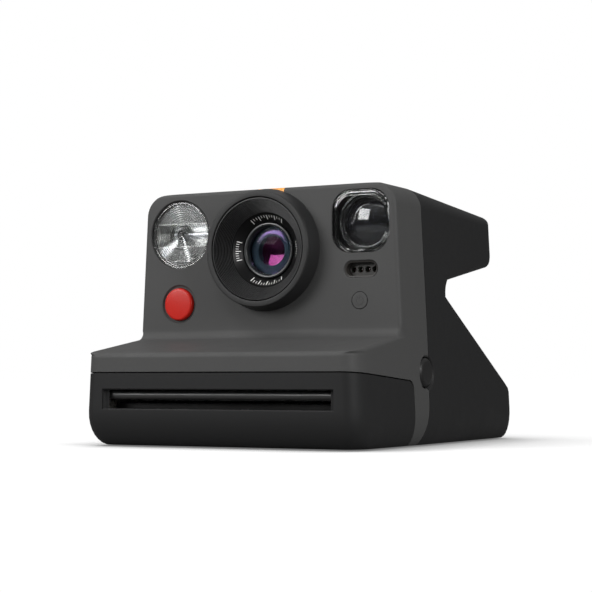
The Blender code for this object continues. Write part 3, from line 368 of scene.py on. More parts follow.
    z = levels[:, None]
    x_side = side_x[:, None]
    lean_at_top = np.clip(TOP_ROUND - (high - levels), 0, TOP_ROUND * 0.97) / TOP_ROUND
    front_reach_x = np.minimum(front_reach_x / np.sqrt(1 - lean_at_top**2), 0.006)
    t = np.linspace(0, np.pi / 2, 9)[None]
    drop_x, drop_y = corner_arc(t, front_reach_x[:, None], front_reach_y[:, None])
    y_front = front_y[:, None] + drop_y
    x_front = half_width(y_front, z, x_side) - drop_x
    drop_x, drop_y = corner_arc(t[:, ::-1], rear_reach_x[:, None], rear_reach_y[:, None])
    y_rear = rear_y[:, None] - drop_y
    x_rear = half_width(y_rear, z, x_side) - drop_x
    side_start, side_end = y_front[:, -1:], y_rear[:, :1]
    along = np.linspace(0, 1, 18)[None, 1:]
    along = np.where(z > HUMP_LOW_Z, 1 - (1 - along) ** 2, along)
    y_side = side_start + (side_end - back_round - side_start) * along
    y_corner = side_end - back_round * (1 - np.sin(np.linspace(0, np.pi / 2, 12)[None, 1:-1]))
    y_side = np.concatenate([y_side, y_corner], axis=1)
    x_side_wall = half_width(y_side, z, x_side)
    x_right = np.concatenate([x_front, x_side_wall, x_rear], axis=1)
    y_right = np.concatenate([y_front, y_side, y_rear], axis=1)
    across = np.linspace(1, -1, 10)[None, 1:-1]
    x_back, y_back = x_right[:, -1:] * across, np.repeat(y_right[:, -1:], across.size, axis=1)
    x_fore, y_fore = x_right[:, :1] * -across, np.repeat(y_right[:, :1], across.size, axis=1)
    x = np.concatenate([x_right, x_back, -x_right[:, ::-1], x_fore], axis=1)
    y = np.concatenate([y_right, y_back, y_right[:, ::-1], y_fore], axis=1)
    return stack(name, np.stack([x, y, np.broadcast_to(z, x.shape)], axis=-1))


def stack(name, rings, open_ends=False):
    """A closed skin through rings of points: quads between neighbours, and a flat face at each end.
    Points that fall together are merged, and the faces are turned outwards.
    """
    rows, columns, _ = rings.shape
    index = np.arange(rows * columns).reshape(rows, columns)
    ahead = np.roll(index, -1, axis=1)
    quads = np.stack([index[:-1], ahead[:-1], ahead[1:], index[1:]], axis=-1).reshape(-1, 4)
    faces = quads.tolist()
    if open_ends:
        quads = np.stack([index[-1], ahead[-1], ahead[0], index[0]], axis=-1)
        faces += quads.tolist()
    else:
        faces += [index[0, ::-1].tolist(), index[-1].tolist()]
    return tidy(mesh_object(name, rings, faces))


def tidy(made, within=1e-6):
    """Merges doubles, drops what collapsed, turns the faces outwards and shades smooth below 32 degrees."""
    bm = bmesh.new()
    bm.from_mesh(made.data)
    bmesh.ops.remove_doubles(bm, verts=bm.verts, dist=within)
    bmesh.ops.dissolve_degenerate(bm, edges=bm.edges, dist=within / 10)
    bmesh.ops.recalc_face_normals(bm, faces=bm.faces)
    bm.to_mesh(made.data)
    bm.free()
    made.data.shade_smooth()
    made.data.set_sharp_from_angle(angle=math.radians(32))
    return made


def prism(name, outline, low, high, axis=0):
    """A flat outline of two coordinates given a thickness along the third, from low to high."""
    outline = np.asarray(outline, float)
    rings = np.empty((2, len(outline), 3))
    rings[..., [i for i in range(3) if i != axis]] = outline
    rings[0, :, axis], rings[1, :, axis] = low, high
    return stack(name, rings)


def rectangle(low_u, low_v, high_u, high_v):
    """A rectangle's outline, round from its low corner."""
    return [(low_u, low_v), (high_u, low_v), (high_u, high_v), (low_u, high_v)]


def carve(target, *cutters, operation="DIFFERENCE"):
    """Booleans the cutters into the target, keeps the result as its mesh, and removes the cutters."""
    for cutter in cutters:
        step = target.modifiers.new(cutter.name, "BOOLEAN")
        step.solver = "MANIFOLD"
        step.operation = operation
        step.object = cutter
    bpy.context.view_layer.update()
    graph = bpy.context.evaluated_depsgraph_get()
    mesh = bpy.data.meshes.new_from_object(target.evaluated_get(graph), depsgraph=graph)
    target.modifiers.clear()
    target.data = mesh
    for cutter in cutters:
        bpy.data.objects.remove(cutter)
    mesh.shade_smooth()
    mesh.set_sharp_from_angle(angle=math.radians(32))
    return target


def finish(piece, material, body, slot, *nodes):
    """Gives a piece its material and body, and hides the CAD nodes that it stands for. The slot is not used.
    """
    piece.data.materials.clear()
    piece.data.materials.append(material)
    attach(piece, body)
    if nodes:
        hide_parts(*nodes)
    return piece


def copy_of(made, name):
    """A second object with its own copy of a mesh."""
    twin = bpy.data.objects.new(name, made.data.copy())
    studio.collection.objects.link(twin)
    return twin


outer_form = body_form("outer_form", 0.0)
inner_form = body_form("inner_form", WALL)
SEAM_DEPTH, SEAM_HALF = 0.0008, 0.00022
ACROSS = (-0.1, 0.1)


def round_path(steps=96):
    """A circle's path: every point at its centre, with the outward direction (cos a, sin a)."""
    turn = np.arange(steps) * 2 * np.pi / steps
    return np.zeros((steps, 2)), np.stack([np.cos(turn), np.sin(turn)], axis=1)


def frame_path(half_u, half_v, corner, steps=12):
    """A rounded rectangle's path: its corners' centres, each with a quarter turn of outward directions."""
    turn = np.linspace(0, np.pi / 2, steps + 1)
    turns = (turn + np.arange(4)[:, None] * np.pi / 2).ravel()
    signs = np.repeat([(1, 1), (-1, 1), (-1, -1), (1, -1)], steps + 1, axis=0)
    centres = signs * (half_u - corner, half_v - corner)
    return centres, np.stack([np.cos(turns), np.sin(turns)], axis=1)


FACINGS = {
    "front": lambda u, v, h: (u, -h, v),
    "rear": lambda u, v, h: (u, h, v),
    "right": lambda u, v, h: (h, u, v),
    "left": lambda u, v, h: (-h, u, v),
    "below": lambda u, v, h: (u, v, -h),
}


def carried(name, centre, path, profile, facing="front", ring=False):
    """A profile of (distance, height) carried round a path: each point is the path's point plus the outward
    direction times the distance, and the height runs towards the facing. A ring's profile closes on itself.
    """
    places, outward = path
    profile = np.asarray(profile, float)
    flat = np.asarray(centre) + places[None] + outward[None] * profile[:, 0, None, None]
    heights = np.broadcast_to(profile[:, 1, None], flat.shape[:2])
    rings = np.stack(FACINGS[facing](flat[..., 0], flat[..., 1], heights), axis=-1)
    return stack(name, rings, open_ends=ring)


def hollow_moulding(name, region):
    """The outer form cut to a region of its side view, with rounded corners, and hollowed to its wall."""
    skin = carve(copy_of(outer_form, name), prism(name + "_region", rounded(region), *ACROSS),
                 operation="INTERSECT")
    return carve(skin, copy_of(inner_form, name + "_hollow"))


# ---- Front cover ----
# The grey front of the camera, one moulding: panel, shelf and chin, with a strap down each side that runs
# under the base. Its openings have a small chamfer, and two ears carry the film door's pins.

DOOR_REAR_Y, DOOR_TOP_FRONT_Z, DOOR_TOP_REAR_Z = -0.03, 0.02635, 0.0232
HINGE_Y, HINGE_Z = -0.03235, 0.0022
RELEASE_Y, RELEASE_Z, RELEASE_RADIUS = -0.018, 0.02635, 0.0055
FLASH_X, FLASH_Z = -0.0373, 0.0784
LENS_Z, NECK_RADIUS = 0.0713, 0.0203
FINDER_X, FINDER_Z, FINDER_HALF = 0.0387, 0.0804, 0.0112
SENSOR_X, SENSOR_Z, SENSOR_HALF = 0.0388, 0.0631, (0.0066, 0.003)
SHUTTER_X, SHUTTER_Z, SHUTTER_RADIUS = -0.0375, 0.0521, 0.0061
TIMER_X, TIMER_Z, TIMER_RADIUS = 0.0384, 0.0519, 0.003
INLAY_X, INLAY_HALF, INLAY_LOW_Z, INLAY_REAR_Y = 0.002, 0.0056, 0.092, -0.0203
SIDE_FACE = 0.0553
PANEL = -PANEL_Y


def seam_height(y):
    """The straight line between the door's front and rear top corners."""
    return DOOR_TOP_FRONT_Z + (y - FRONT_Y) / (DOOR_REAR_Y - FRONT_Y) * (DOOR_TOP_REAR_Z - DOOR_TOP_FRONT_Z)


def mouth(radius, chamfer=0.00025, surface=PANEL, depth=0.006):
    """A cutter's profile: straight up to just under a surface, then flared at 45 degrees past it."""
    past = 0.001
    return [(radius, surface - depth), (radius, surface - chamfer), (radius + chamfer + past, surface + past)]


half_gap = PLAY / 2
STRAP_FOOT_Y, STRAP_BEND_Y, STRAP_BEND_Z = SEAM_Y - 0.0068, SEAM_Y - 0.0014, 0.0095
ahead_y = FRONT_Y - 0.01
front_region = [
    (ahead_y, seam_height(ahead_y) + half_gap, 0, 0),
    (DOOR_REAR_Y + half_gap, DOOR_TOP_REAR_Z + half_gap, 0.0035, 0.0035),
    (DOOR_REAR_Y + half_gap, -0.01, 0, 0),
    (STRAP_FOOT_Y - half_gap, -0.01, 0, 0),
    (STRAP_FOOT_Y - half_gap, -0.0005, 0, 0),
    (STRAP_BEND_Y - half_gap, STRAP_BEND_Z, 0.006, 0.005),
    (SEAM_Y - half_gap, RELEASE_Z, 0.003, 0.003),
    (SEAM_Y - half_gap, 0.11, 0, 0),
    (ahead_y, 0.11, 0, 0),
]
front_skin = hollow_moulding("front_skin", front_region)
EAR_REACH = 0.0018
ear = rounded([
    (STRAP_FOOT_Y - 0.0004, HINGE_Z + 0.003, 0, 0),
    (HINGE_Y - EAR_REACH, HINGE_Z + 0.002, 0.0012, 0.0012),
    (HINGE_Y - EAR_REACH, HINGE_Z - EAR_REACH, 0.0012, 0.0012),
    (STRAP_FOOT_Y - 0.0004, HINGE_Z - EAR_REACH, 0, 0),
])
carve(front_skin, prism("ear_left", ear, -0.0484, -0.047), prism("ear_right", ear, 0.047, 0.0484),
      operation="UNION")
seam_path = [
    (ahead_y, seam_height(ahead_y), 0, 0),
    (DOOR_REAR_Y, DOOR_TOP_REAR_Z, 0.0034, 0.0034),
    (DOOR_REAR_Y, 0.0015, 0, 0),
]
seam_band = [rounded(inward(seam_path, side * SEAM_HALF)) for side in (1, -1)]
seam_band = np.concatenate([seam_band[0], seam_band[1][::-1]])


def seam_groove(name):
    """The layer between a form just proud of the skin and one sunk below it, along the door's seam."""
    layer = body_form(name, -0.0005)
    carve(layer, prism(name + "_band", seam_band, *ACROSS), operation="INTERSECT")
    return carve(layer, body_form(name + "_floor", SEAM_DEPTH))


def hinge_pair(name, radius, low, high):
    """Two short round bars on the hinge's line, one a side, between two distances from the middle."""
    profile = [(radius, low), (radius, high)]
    return [carried(f"{name}_{side}", (HINGE_Y, HINGE_Z), round_path(32), profile, side)
            for side in ("left", "right")]


PIN_BORE = 0.00105
carve(front_skin, seam_groove("front_seam"))
recess = [(0.00625, PANEL - 0.006), (0.00625, PANEL - 0.0006), (0.0068, PANEL - 0.0006), (0.0074, PANEL),
          (0.0084, PANEL + 0.001)]
shoulder = PANEL - 0.0013
flash_mouth = [(0.0119, PANEL - 0.006), (0.0119, shoulder), (0.0130, shoulder), (0.0130, PANEL - 0.0002),
               (0.0142, PANEL + 0.001)]
release_mouth = mouth(RELEASE_RADIUS + PLAY, 0.0007, SIDE_FACE, 0.01)
carve(
    front_skin,
    carried("flash_hole", (FLASH_X, FLASH_Z), round_path(), flash_mouth),
    *hinge_pair("ear_bore", PIN_BORE, 0.0465, 0.0489),
    carried("barrel_hole", (0, LENS_Z), round_path(), mouth(NECK_RADIUS + PLAY)),
    carried("shutter_dish", (SHUTTER_X, SHUTTER_Z), round_path(), recess),
    carried("timer_hole", (TIMER_X, TIMER_Z), round_path(), mouth(TIMER_RADIUS + 0.00012, 0.00015)),
    carried("finder_hole", (FINDER_X, FINDER_Z), frame_path(FINDER_HALF, FINDER_HALF, 0.0072),
            mouth(0.0073, 0.0002)),
    carried("sensor_hole", (SENSOR_X, SENSOR_Z), frame_path(*SENSOR_HALF, 0.003), mouth(0.003, 0.0003)),
    carried("release_hole", (RELEASE_Y, RELEASE_Z), round_path(), release_mouth, "right"),
)
INLAY_PLAY = 0.0001
inlay_box = rectangle(-0.06, INLAY_LOW_Z - INLAY_PLAY, INLAY_REAR_Y + INLAY_PLAY, 0.11)
inlay_side = INLAY_HALF + INLAY_PLAY
carve(front_skin, prism("inlay_way", inlay_box, INLAY_X - inlay_side, INLAY_X + inlay_side))
finish(front_skin, GREY_PLASTIC, "camera_body", "grey_plastic", "front_cover")

# ---- Rear cover ----
# The black back, one moulding: hump, waist, slope and base. It takes the eyepiece, two buttons and the
# counter's window in the hump's rear face, the charging port on the left and four screws underneath.

REAR_CONTROLS_Z = 0.0795
REAR_FACE = 0.0575
EYEPIECE_X = FINDER_X - 0.001
REAR_BUTTONS = {"flash_button": -0.0215, "power_button": -0.0375}
SCREW_PLACES = ((-0.036, -0.005), (0.036, -0.005), (-0.036, 0.056), (0.036, 0.056))
PORT_FACE = 0.0548
rear_region = [
    (0.1, 0.11, 0, 0),
    (SEAM_Y + half_gap, 0.11, 0, 0),
    (SEAM_Y + half_gap, RELEASE_Z, 0.003, 0.003),
    (STRAP_BEND_Y + half_gap, STRAP_BEND_Z, 0.005, 0.006),
    (STRAP_FOOT_Y + half_gap, -0.0005, 0, 0),
    (STRAP_FOOT_Y + half_gap, -0.01, 0, 0),
    (0.1, -0.01, 0, 0),
]
rear_skin = hollow_moulding("rear_skin", rear_region)
rear_holes = [
    carried("eyepiece_hole", (EYEPIECE_X, REAR_CONTROLS_Z), frame_path(0.0075, 0.0075, 0.004),
            mouth(0.004, 0.0004, REAR_FACE, 0.005), "rear"),
    carried("counter_hole", (0, REAR_CONTROLS_Z), frame_path(0.0052, 0.0043, 0.0008),
            mouth(0.0008, 0.0003, REAR_FACE, 0.005), "rear"),
    carried("release_hole_rear", (RELEASE_Y, RELEASE_Z), round_path(), release_mouth, "right"),
    carried("port_hole", (0.004, 0.0345), frame_path(0.0042, 0.0017, 0.0012),
            mouth(0.0012, 0.0004, PORT_FACE, 0.01), "left"),
]
button_mouth = mouth(0.00415, 0.0003, REAR_FACE, 0.005)
rear_holes += [
    carried(button + "_hole", (x, REAR_CONTROLS_Z), round_path(), button_mouth, "rear")
    for button, x in REAR_BUTTONS.items()
]
screw_seat = [(0.0011, -0.004), (0.0011, -0.0011), (0.0025, -0.0011), (0.0025, -0.0003), (0.0033, 0.0005)]
rear_holes += [
    carried(f"screw_hole_{i}", place, round_path(48), screw_seat, "below")
    for i, place in enumerate(SCREW_PLACES)
]
carve(rear_skin, *rear_holes)
finish(rear_skin, BLACK_PLASTIC, "camera_body", "black_plastic", "rear_cover")

# ---- Film door ----
# The black lower front, one moulding that swings down about two pins. The picture comes out of its slot,
# whose lips are chamfered and whose ends curve inwards to guide the sheet.

SLOT_HALF, SLOT_LOW, SLOT_HIGH = 0.0467, 0.01345, 0.0202
SLOT_CURVE = 0.0019
door_rear = DOOR_REAR_Y - half_gap
door_region = [
    (ahead_y, -0.01, 0, 0),
    (HINGE_Y, -0.01, 0, 0),
    (HINGE_Y, -0.0001, 0, 0),
    (door_rear, -0.0001, door_rear - HINGE_Y - 0.0001, HINGE_Z),
    (door_rear, DOOR_TOP_REAR_Z - half_gap, 0.0033, 0.0033),
    (ahead_y, seam_height(ahead_y) - half_gap, 0, 0),
]
door_skin = hollow_moulding("door_skin", door_region)
carve(door_skin, seam_groove("door_seam"))
floor_end = rectangle(HINGE_Y - 0.0022, -0.01, -0.02, 0.01)
arc = np.linspace(0, np.pi / 2, 9)
end_x = -SLOT_HALF + SLOT_CURVE * (1 - np.cos(arc))
end_y = FRONT_Y + 0.0001 + SLOT_CURVE * np.sin(arc)
left_end = np.stack([end_x, end_y], axis=1)
slot_plan = np.concatenate([[(-SLOT_HALF, FRONT_Y - 0.005)], left_end, [(left_end[-1, 0], FRONT_Y + 0.006)]])
slot_plan = np.concatenate([slot_plan, slot_plan[::-1] * (-1, 1)])
lip = 0.0004
slot_lips = [(FRONT_Y - 0.001, SLOT_LOW - lip - 0.001), (FRONT_Y - 0.001, SLOT_HIGH + lip + 0.001),
             (FRONT_Y + lip, SLOT_HIGH), (FRONT_Y + lip, SLOT_LOW)]
carve(
    door_skin,
    prism("floor_end", floor_end, -0.0486, 0.0486),
    prism("slot_way", slot_plan, SLOT_LOW, SLOT_HIGH, axis=2),
    prism("slot_lips", slot_lips, -SLOT_HALF, SLOT_HALF),
)
catch = rectangle(-0.0341, 0.0176, -0.0326, 0.0198)
carve(door_skin, *hinge_pair("boss", 0.0019, 0.0487, 0.0515), prism("catch", catch, 0.0498, 0.0550),
      operation="UNION")
carve(door_skin, *hinge_pair("bore", PIN_BORE, 0.048, 0.0506))
finish(door_skin, BLACK_PLASTIC, "film_door", "black_plastic", "film_door")
guide_line = [(-0.0662, 0.0134), (-0.0657, 0.0134), (-0.0657, 0.0151), (-0.0661, 0.0154), (-0.0662, 0.0152)]
picture_guide = prism("picture_guide", guide_line, -0.0464, 0.0464)
finish(picture_guide, INNER_PLASTIC, "film_door", "inner_plastic")

# ---- Top inlay ----
# A thin plain strip of amber plastic, glued into a recess of its own thickness in the panel's top edge. It
# starts just below the edge and folds back over it.

AMBER_PLASTIC = moulded("amber_strip", (0.74, 0.30, 0.035), 0.38, grain=0.0004, depth=0.00001, gloss=0.4)
inlay_core = body_form("inlay_core", 0.0006)
inlay_region = rectangle(-0.06, INLAY_LOW_Z, INLAY_REAR_Y, 0.11)
top_strip = carve(
    copy_of(outer_form, "top_strip"),
    prism("inlay_region", inlay_region, INLAY_X - INLAY_HALF, INLAY_X + INLAY_HALF),
    operation="INTERSECT",
)
carve(top_strip, inlay_core)
finish(top_strip, AMBER_PLASTIC, "camera_body", "amber_plastic", "top_inlay")
bpy.data.objects.remove(outer_form)
bpy.data.objects.remove(inner_form)

# ---- Lens barrel and hood ----
# A black barrel stands on the panel with a trim ring pressed on its mouth: the same black plastic, painted a
# little lighter as painted light on the ring's front face. Inside it the hood steps down in fine grooves that
# kill stray light, then a plain cone carries a printed scale of bare ticks.

LENS = (0, LENS_Z)
MOUTH = 0.0453
BARREL_BLACK = moulded("barrel_black", (0.014, 0.014, 0.0143), 0.42, gloss=0.25)
# Painted light: the trim ring takes the barrel's black plastic a little lighter, for the light on its front
# face.
TRIM_PAINTED_LIGHTER = moulded("trim_black_painted_lighter", (0.021, 0.021, 0.021), 0.45, gloss=0.2)
PRINT_WHITE, _ = smooth("printed_ticks", (0.90, 0.90, 0.88), 0.5)
barrel_wall = carried(
    "barrel_wall", LENS, round_path(128),
    [(0.0225, 0.0385), (0.0224, 0.0391), (0.02125, 0.0444), (0.0210, 0.0446), (0.0195, 0.0446),
     (0.0195, 0.0342), (NECK_RADIUS, 0.0342), (NECK_RADIUS, 0.0385)], ring=True)
finish(barrel_wall, BARREL_BLACK, "camera_body", "grey_plastic", "lens_barrel")
edge = np.linspace(0, np.pi / 2, 7)
outer_edge = np.stack([0.0208 + 0.0004 * np.cos(edge), MOUTH - 0.0004 + 0.0004 * np.sin(edge)], axis=1)
inner_edge = np.stack([0.0193 - 0.0002 * np.sin(edge), MOUTH - 0.0002 + 0.0002 * np.cos(edge)], axis=1)
trim_back = [(0.0191, 0.0436), (0.01945, 0.0436), (0.0197, 0.04475)]
trim = np.concatenate([[(0.0212, 0.04475)], outer_edge, inner_edge, trim_back])
trim_ring = carried("trim_ring", LENS, round_path(128), trim, ring=True)
finish(trim_ring, TRIM_PAINTED_LIGHTER, "camera_body", "grey_plastic")

GROOVES = 13
GROOVE_MOUTH, GROOVE_END = (0.0185, 0.0449), (0.0137, 0.0389)
share = np.arange(GROOVES)[:, None] / GROOVES
step_r = (GROOVE_END[0] - GROOVE_MOUTH[0]) / GROOVES
step_h = (GROOVE_END[1] - GROOVE_MOUTH[1]) / GROOVES
crest_r = GROOVE_MOUTH[0] + share * (GROOVE_END[0] - GROOVE_MOUTH[0])
crest_h = GROOVE_MOUTH[1] + share * (GROOVE_END[1] - GROOVE_MOUTH[1])
tooth = np.array([(0, 0), (0.46, -0.08), (0.52, 1.15), (0.86, 1.3), (0.94, 0.95)])
grooves = np.stack([crest_r + tooth[:, 0] * step_r, crest_h + tooth[:, 1] * step_h], axis=-1).reshape(-1, 2)
CONE_HIGH, CONE_LOW = (GROOVE_END[0] - 0.0001, GROOVE_END[1] - 0.0002), (0.0108, 0.0360)
hood_profile = np.concatenate([
    [(0.0188, 0.0446), (0.0187, 0.0449)],
    grooves,
    [CONE_HIGH, CONE_LOW, (0.0106, 0.0357), (0.0106, 0.0338), (0.0188, 0.0338)],
])
hood = carried("hood", LENS, round_path(160), hood_profile, ring=True)
HOOD_BLACK = moulded("hood_black", (0.009, 0.009, 0.0093), 0.4, grain=0.0002, depth=0.000003, gloss=0.2)
hood_tree = HOOD_BLACK.node_tree
hood_place = node(hood_tree, "TexCoord").outputs["Object"]
from_axis = node(hood_tree, "VectorMath", [(0, hood_place), (1, (1, 0, 1)), (2, (0, 0, -LENS_Z))],
                 operation="MULTIPLY_ADD")
hood_radius = node(hood_tree, "VectorMath", [(0, from_axis)], operation="LENGTH").outputs["Value"]
groove_count = node(hood_tree, "Math", [(0, hood_radius), (1, 1 / step_r), (2, -GROOVE_MOUTH[0] / step_r)],
                    operation="MULTIPLY_ADD")
groove_share = node(hood_tree, "Math", [(0, groove_count)], operation="FRACT")
# Painted highlights: the ramp paints each groove's crest lighter, as light catching the crests, and the rest
# stays black.
crest = ramp(hood_tree, groove_share, (0.24, (0.080, 0.080, 0.081)), (0.36, (0.004, 0.004, 0.0042)))
on_grooves = node(hood_tree, "Math", [(0, hood_radius), (1, GROOVE_END[0])], operation="GREATER_THAN")
hood_colour_with_painted_highlights = node(hood_tree, "Mix", [(0, on_grooves), (6, (0.006, 0.006, 0.0062, 1)), (7, crest)],
                   data_type="RGBA")
join(hood_tree.nodes["Principled BSDF"], [("Base Color", hood_colour_with_painted_highlights.outputs[2])])
finish(hood, HOOD_BLACK, "camera_body", "inner_plastic", "lens_hood")


def ticks(name, angles, inner, outer, width, top):
    """Flat printed bars on a cone: each bar's corners stand at two radii, half a width either side of its
    angle, at heights read off the cone's straight side, with a second layer a hair higher.
    """
    angles = np.radians(np.asarray(angles, float))[:, None]
    radii = np.array([inner, inner, outer, outer])[None]
    sides = np.array([-0.5, 0.5, 0.5, -0.5])[None] * width
    height = np.interp(radii, *zip(CONE_LOW, CONE_HIGH))
    u = radii * np.cos(angles) - sides * np.sin(angles)
    v = radii * np.sin(angles) + sides * np.cos(angles)
    height = np.broadcast_to(height, u.shape)
    layers = [np.stack([u, -(height + lift), v + LENS_Z], axis=-1) for lift in (-0.00002, top)]
    points = np.stack(layers, axis=1).reshape(-1, 3)
    box_faces = np.array([(3, 2, 1, 0), (4, 5, 6, 7), (0, 1, 5, 4), (1, 2, 6, 5), (2, 3, 7, 6), (3, 0, 4, 7)])
    faces = (box_faces[None] + np.arange(len(angles))[:, None, None] * 8).reshape(-1, 4)
    return tidy(mesh_object(name, points, faces.tolist()), 1e-8)


long_span, short_span, side_span = np.arange(-30, 31, 15), np.arange(-25, 26, 5), np.arange(-12, 13, 4)
long_angles = np.concatenate([90 + long_span, 270 + long_span, 180 + np.arange(-16, 17, 16)])
short_angles = np.concatenate([90 + short_span, 270 + short_span, 180 + side_span, side_span])
short_angles = np.setdiff1d(short_angles, long_angles)
scale_long = ticks("scale_long", long_angles, 0.0114, 0.0129, 0.00028, 0.00004)
scale_short = ticks("scale_short", short_angles, 0.0121, 0.0129, 0.00018, 0.00004)
finish(scale_long, PRINT_WHITE, "camera_body", "gear_plastic")
finish(scale_short, PRINT_WHITE, "camera_body", "gear_plastic")

# ---- Lens ring and glass ----
# A black ring screws in over the front element, a coated meniscus. Behind it an iris plate and a second
# coated element sit in the lens tube, and the shutter's blades close the light path beyond them.

RING_BLACK = moulded("ring_satin", (0.016, 0.0175, 0.0185), 0.28, grain=0.0002, depth=0.000005, gloss=0.6)
ring_profile = [(0.0089, 0.0344), (0.0089, 0.0353), (0.00905, 0.0361), (0.0093, 0.03645), (0.0096, 0.0366),
                (0.0099, 0.0366), (0.01015, 0.0365), (0.0103, 0.0362), (0.0103, 0.0322), (0.0095, 0.0322),
                (0.0095, 0.0344)]
retaining_ring = carried("retaining_ring", LENS, round_path(128), ring_profile, ring=True)
finish(retaining_ring, RING_BLACK, "camera_body", "black_plastic", "lens_ring")


def glass(name, colour, index, roughness=0.0):
    """Clear glass or plastic that bends light by its index, with a polished finish."""
    made, _ = smooth(name, colour, roughness, 0.02, Transmission_Weight=1.0, IOR=index)
    return made


def half_section(radii, heights, *back):
    """A turned piece's half section: a curved face given by its radii and heights, then its other corners."""
    return np.concatenate([np.stack([radii, heights], axis=1), back])


FRONT_COAT = glass("front_coating", (0.97, 0.98, 1.0), 1.1)
front_r = np.linspace(0, 0.0088, 14)
front_h = 0.0347 + 0.0010 * (1 - (front_r / 0.0088) ** 2)
front_profile = half_section(front_r, front_h, (0.0088, 0.0343), (0, 0.0343))
front_element = carried("front_element", LENS, round_path(96), front_profile)
finish(front_element, FRONT_COAT, "camera_body", "coated_glass", "front_lens")
TUBE_BLACK = moulded("tube_black", (0.006, 0.006, 0.0065), 0.45, gloss=0.3)
tube_profile = [(0.0102, 0.0318), (0.0102, 0.0302), (0.0122, 0.0302), (0.0122, 0.0289), (0.0045, 0.0289),
                (0.0045, 0.0296), (0.0090, 0.0304), (0.0090, 0.0318)]
iris_tube = carried("iris_tube", LENS, round_path(96), tube_profile, ring=True)
finish(iris_tube, TUBE_BLACK, "camera_body", "black_plastic", "lens_tube")
# The second element is opaque: its dark teal base colour is a painted reflection of its coating, and the
# violet specular tint colours its real reflections.
VIOLET_COAT_PAINTED_TEAL, violet_shader = smooth("violet_coating_painted_teal", (0.030, 0.052, 0.066), 0.06, IOR=1.9)
violet_shader.inputs["Specular Tint"].default_value = (0.27, 0.15, 0.42, 1.0)
dome_r = np.linspace(0.0055, 0.0088, 18)
ROLL_START, ROLL_RUN, ROLL_SLOPE, ROLL_POWER = 0.0061, 0.0027, 0.37, 1.7
roll_off = np.clip((dome_r - ROLL_START) / ROLL_RUN, 0, None)
dome_h = 0.0337 - ROLL_SLOPE * ROLL_RUN * roll_off**ROLL_POWER / ROLL_POWER
dome = half_section(dome_r, dome_h, (0.0088, 0.0306), (0.0054, 0.0306), (0.0054, 0.0333))
second_element = carried("second_element", LENS, round_path(96), dome, ring=True)
finish(second_element, VIOLET_COAT_PAINTED_TEAL, "camera_body", "coated_glass")
# The inner element is opaque: its dark magenta base colour is a painted reflection of its coating, and the
# rose specular tint colours its real reflections.
ROSE_COAT_PAINTED_MAGENTA, rose_shader = smooth("rose_coating_painted_magenta", (0.012, 0.003, 0.010), 0.04, IOR=1.9)
rose_shader.inputs["Specular Tint"].default_value = (0.42, 0.06, 0.27, 1.0)
dish_r = np.linspace(0, 0.0053, 14)
dish_h = 0.0304 + 0.0006 * (dish_r / 0.0053) ** 2
dish = half_section(dish_r, dish_h, (0.0053, 0.0300), (0, 0.0300))
inner_element = carried("inner_element", LENS, round_path(72), dish)
finish(inner_element, ROSE_COAT_PAINTED_MAGENTA, "camera_body", "coated_glass")

# ---- Flash ----
# A clear disc with a Fresnel pattern moulded in its back, over a bright foil trough that holds the xenon
# tube. A grey frame closes the space round the trough, and a black holder grips the tube near one end.

CLEAR_PLASTIC = glass("clear_acrylic", (0.97, 0.98, 0.98), 1.49, 0.09)
FLASH = (FLASH_X, FLASH_Z)
RINGS, RING_PITCH, RIDGE, RIDGE_HEIGHT = 14, 0.00082, 0.00034, 0.0002
ring_r = (np.arange(RINGS)[::-1, None] + 0.6) * RING_PITCH
ridge_shape = np.array([(RIDGE / 2, 0.0), (RIDGE / 8, -1.0), (-RIDGE / 8, -1.0), (-RIDGE / 2, 0.0)])
fresnel_r = np.maximum(ring_r + ridge_shape[:, 0], 0.0001).ravel()
WINDOW_FACE, WINDOW_BACK, WINDOW_SEAT = 0.03765, 0.0360, shoulder + 0.0001
fresnel_h = np.tile(WINDOW_BACK + RIDGE_HEIGHT * ridge_shape[:, 1], RINGS)
window_profile = np.concatenate([
    [(0, WINDOW_FACE), (0.0118, WINDOW_FACE), (0.0121, WINDOW_FACE), (0.0125, 0.0375), (0.0127, 0.0372),
     (0.0127, WINDOW_SEAT), (0.0118, WINDOW_SEAT), (0.0118, 0.0352), (0.0116, 0.0352), (0.0115, 0.0359),
     (0.0114, WINDOW_BACK)],
    half_section(fresnel_r, fresnel_h, (0, WINDOW_BACK)),
])
flash_disc = carried("flash_disc", FLASH, round_path(128), window_profile)
finish(flash_disc, CLEAR_PLASTIC, "camera_body", "clear_plastic", "flash_window")

FOIL, foil_shader = principled("bright_foil", (0.86, 0.86, 0.85), 0.3, Metallic=1.0)
foil_place = node(FOIL.node_tree, "TexCoord").outputs["Object"]
foil_noise = node(FOIL.node_tree, "TexNoise", [("Vector", foil_place)], Scale=240.0, Detail=2.0)
foil_bump = node(FOIL.node_tree, "Bump", [("Height", foil_noise)], Strength=0.2, Distance=0.0001)
join(foil_shader, [("Normal", foil_bump)])
TROUGH_HALF, TROUGH_OPEN, TROUGH_DEPTH, TROUGH_CURVE = 0.0109, 0.0041, 0.0078, 2.2
END_THICK, LIP_HIGH = 0.0003, 0.0004
trough_low, trough_high = FLASH_X - TROUGH_HALF, FLASH_X + TROUGH_HALF
trough_z = np.linspace(-1, 1, 25)
bowl_y = -0.0347 + TROUGH_DEPTH * (1 - np.abs(trough_z) ** TROUGH_CURVE)
inside = np.stack([bowl_y, FLASH_Z + TROUGH_OPEN * trough_z], axis=1)
outside = np.stack([bowl_y + 0.0005, FLASH_Z + (TROUGH_OPEN + LIP_HIGH) * trough_z], axis=1)
foil_trough = prism("foil_trough", np.concatenate([inside, outside[::-1]]), trough_low, trough_high)
finish(foil_trough, FOIL, "camera_body", "foil", "flash_reflector")
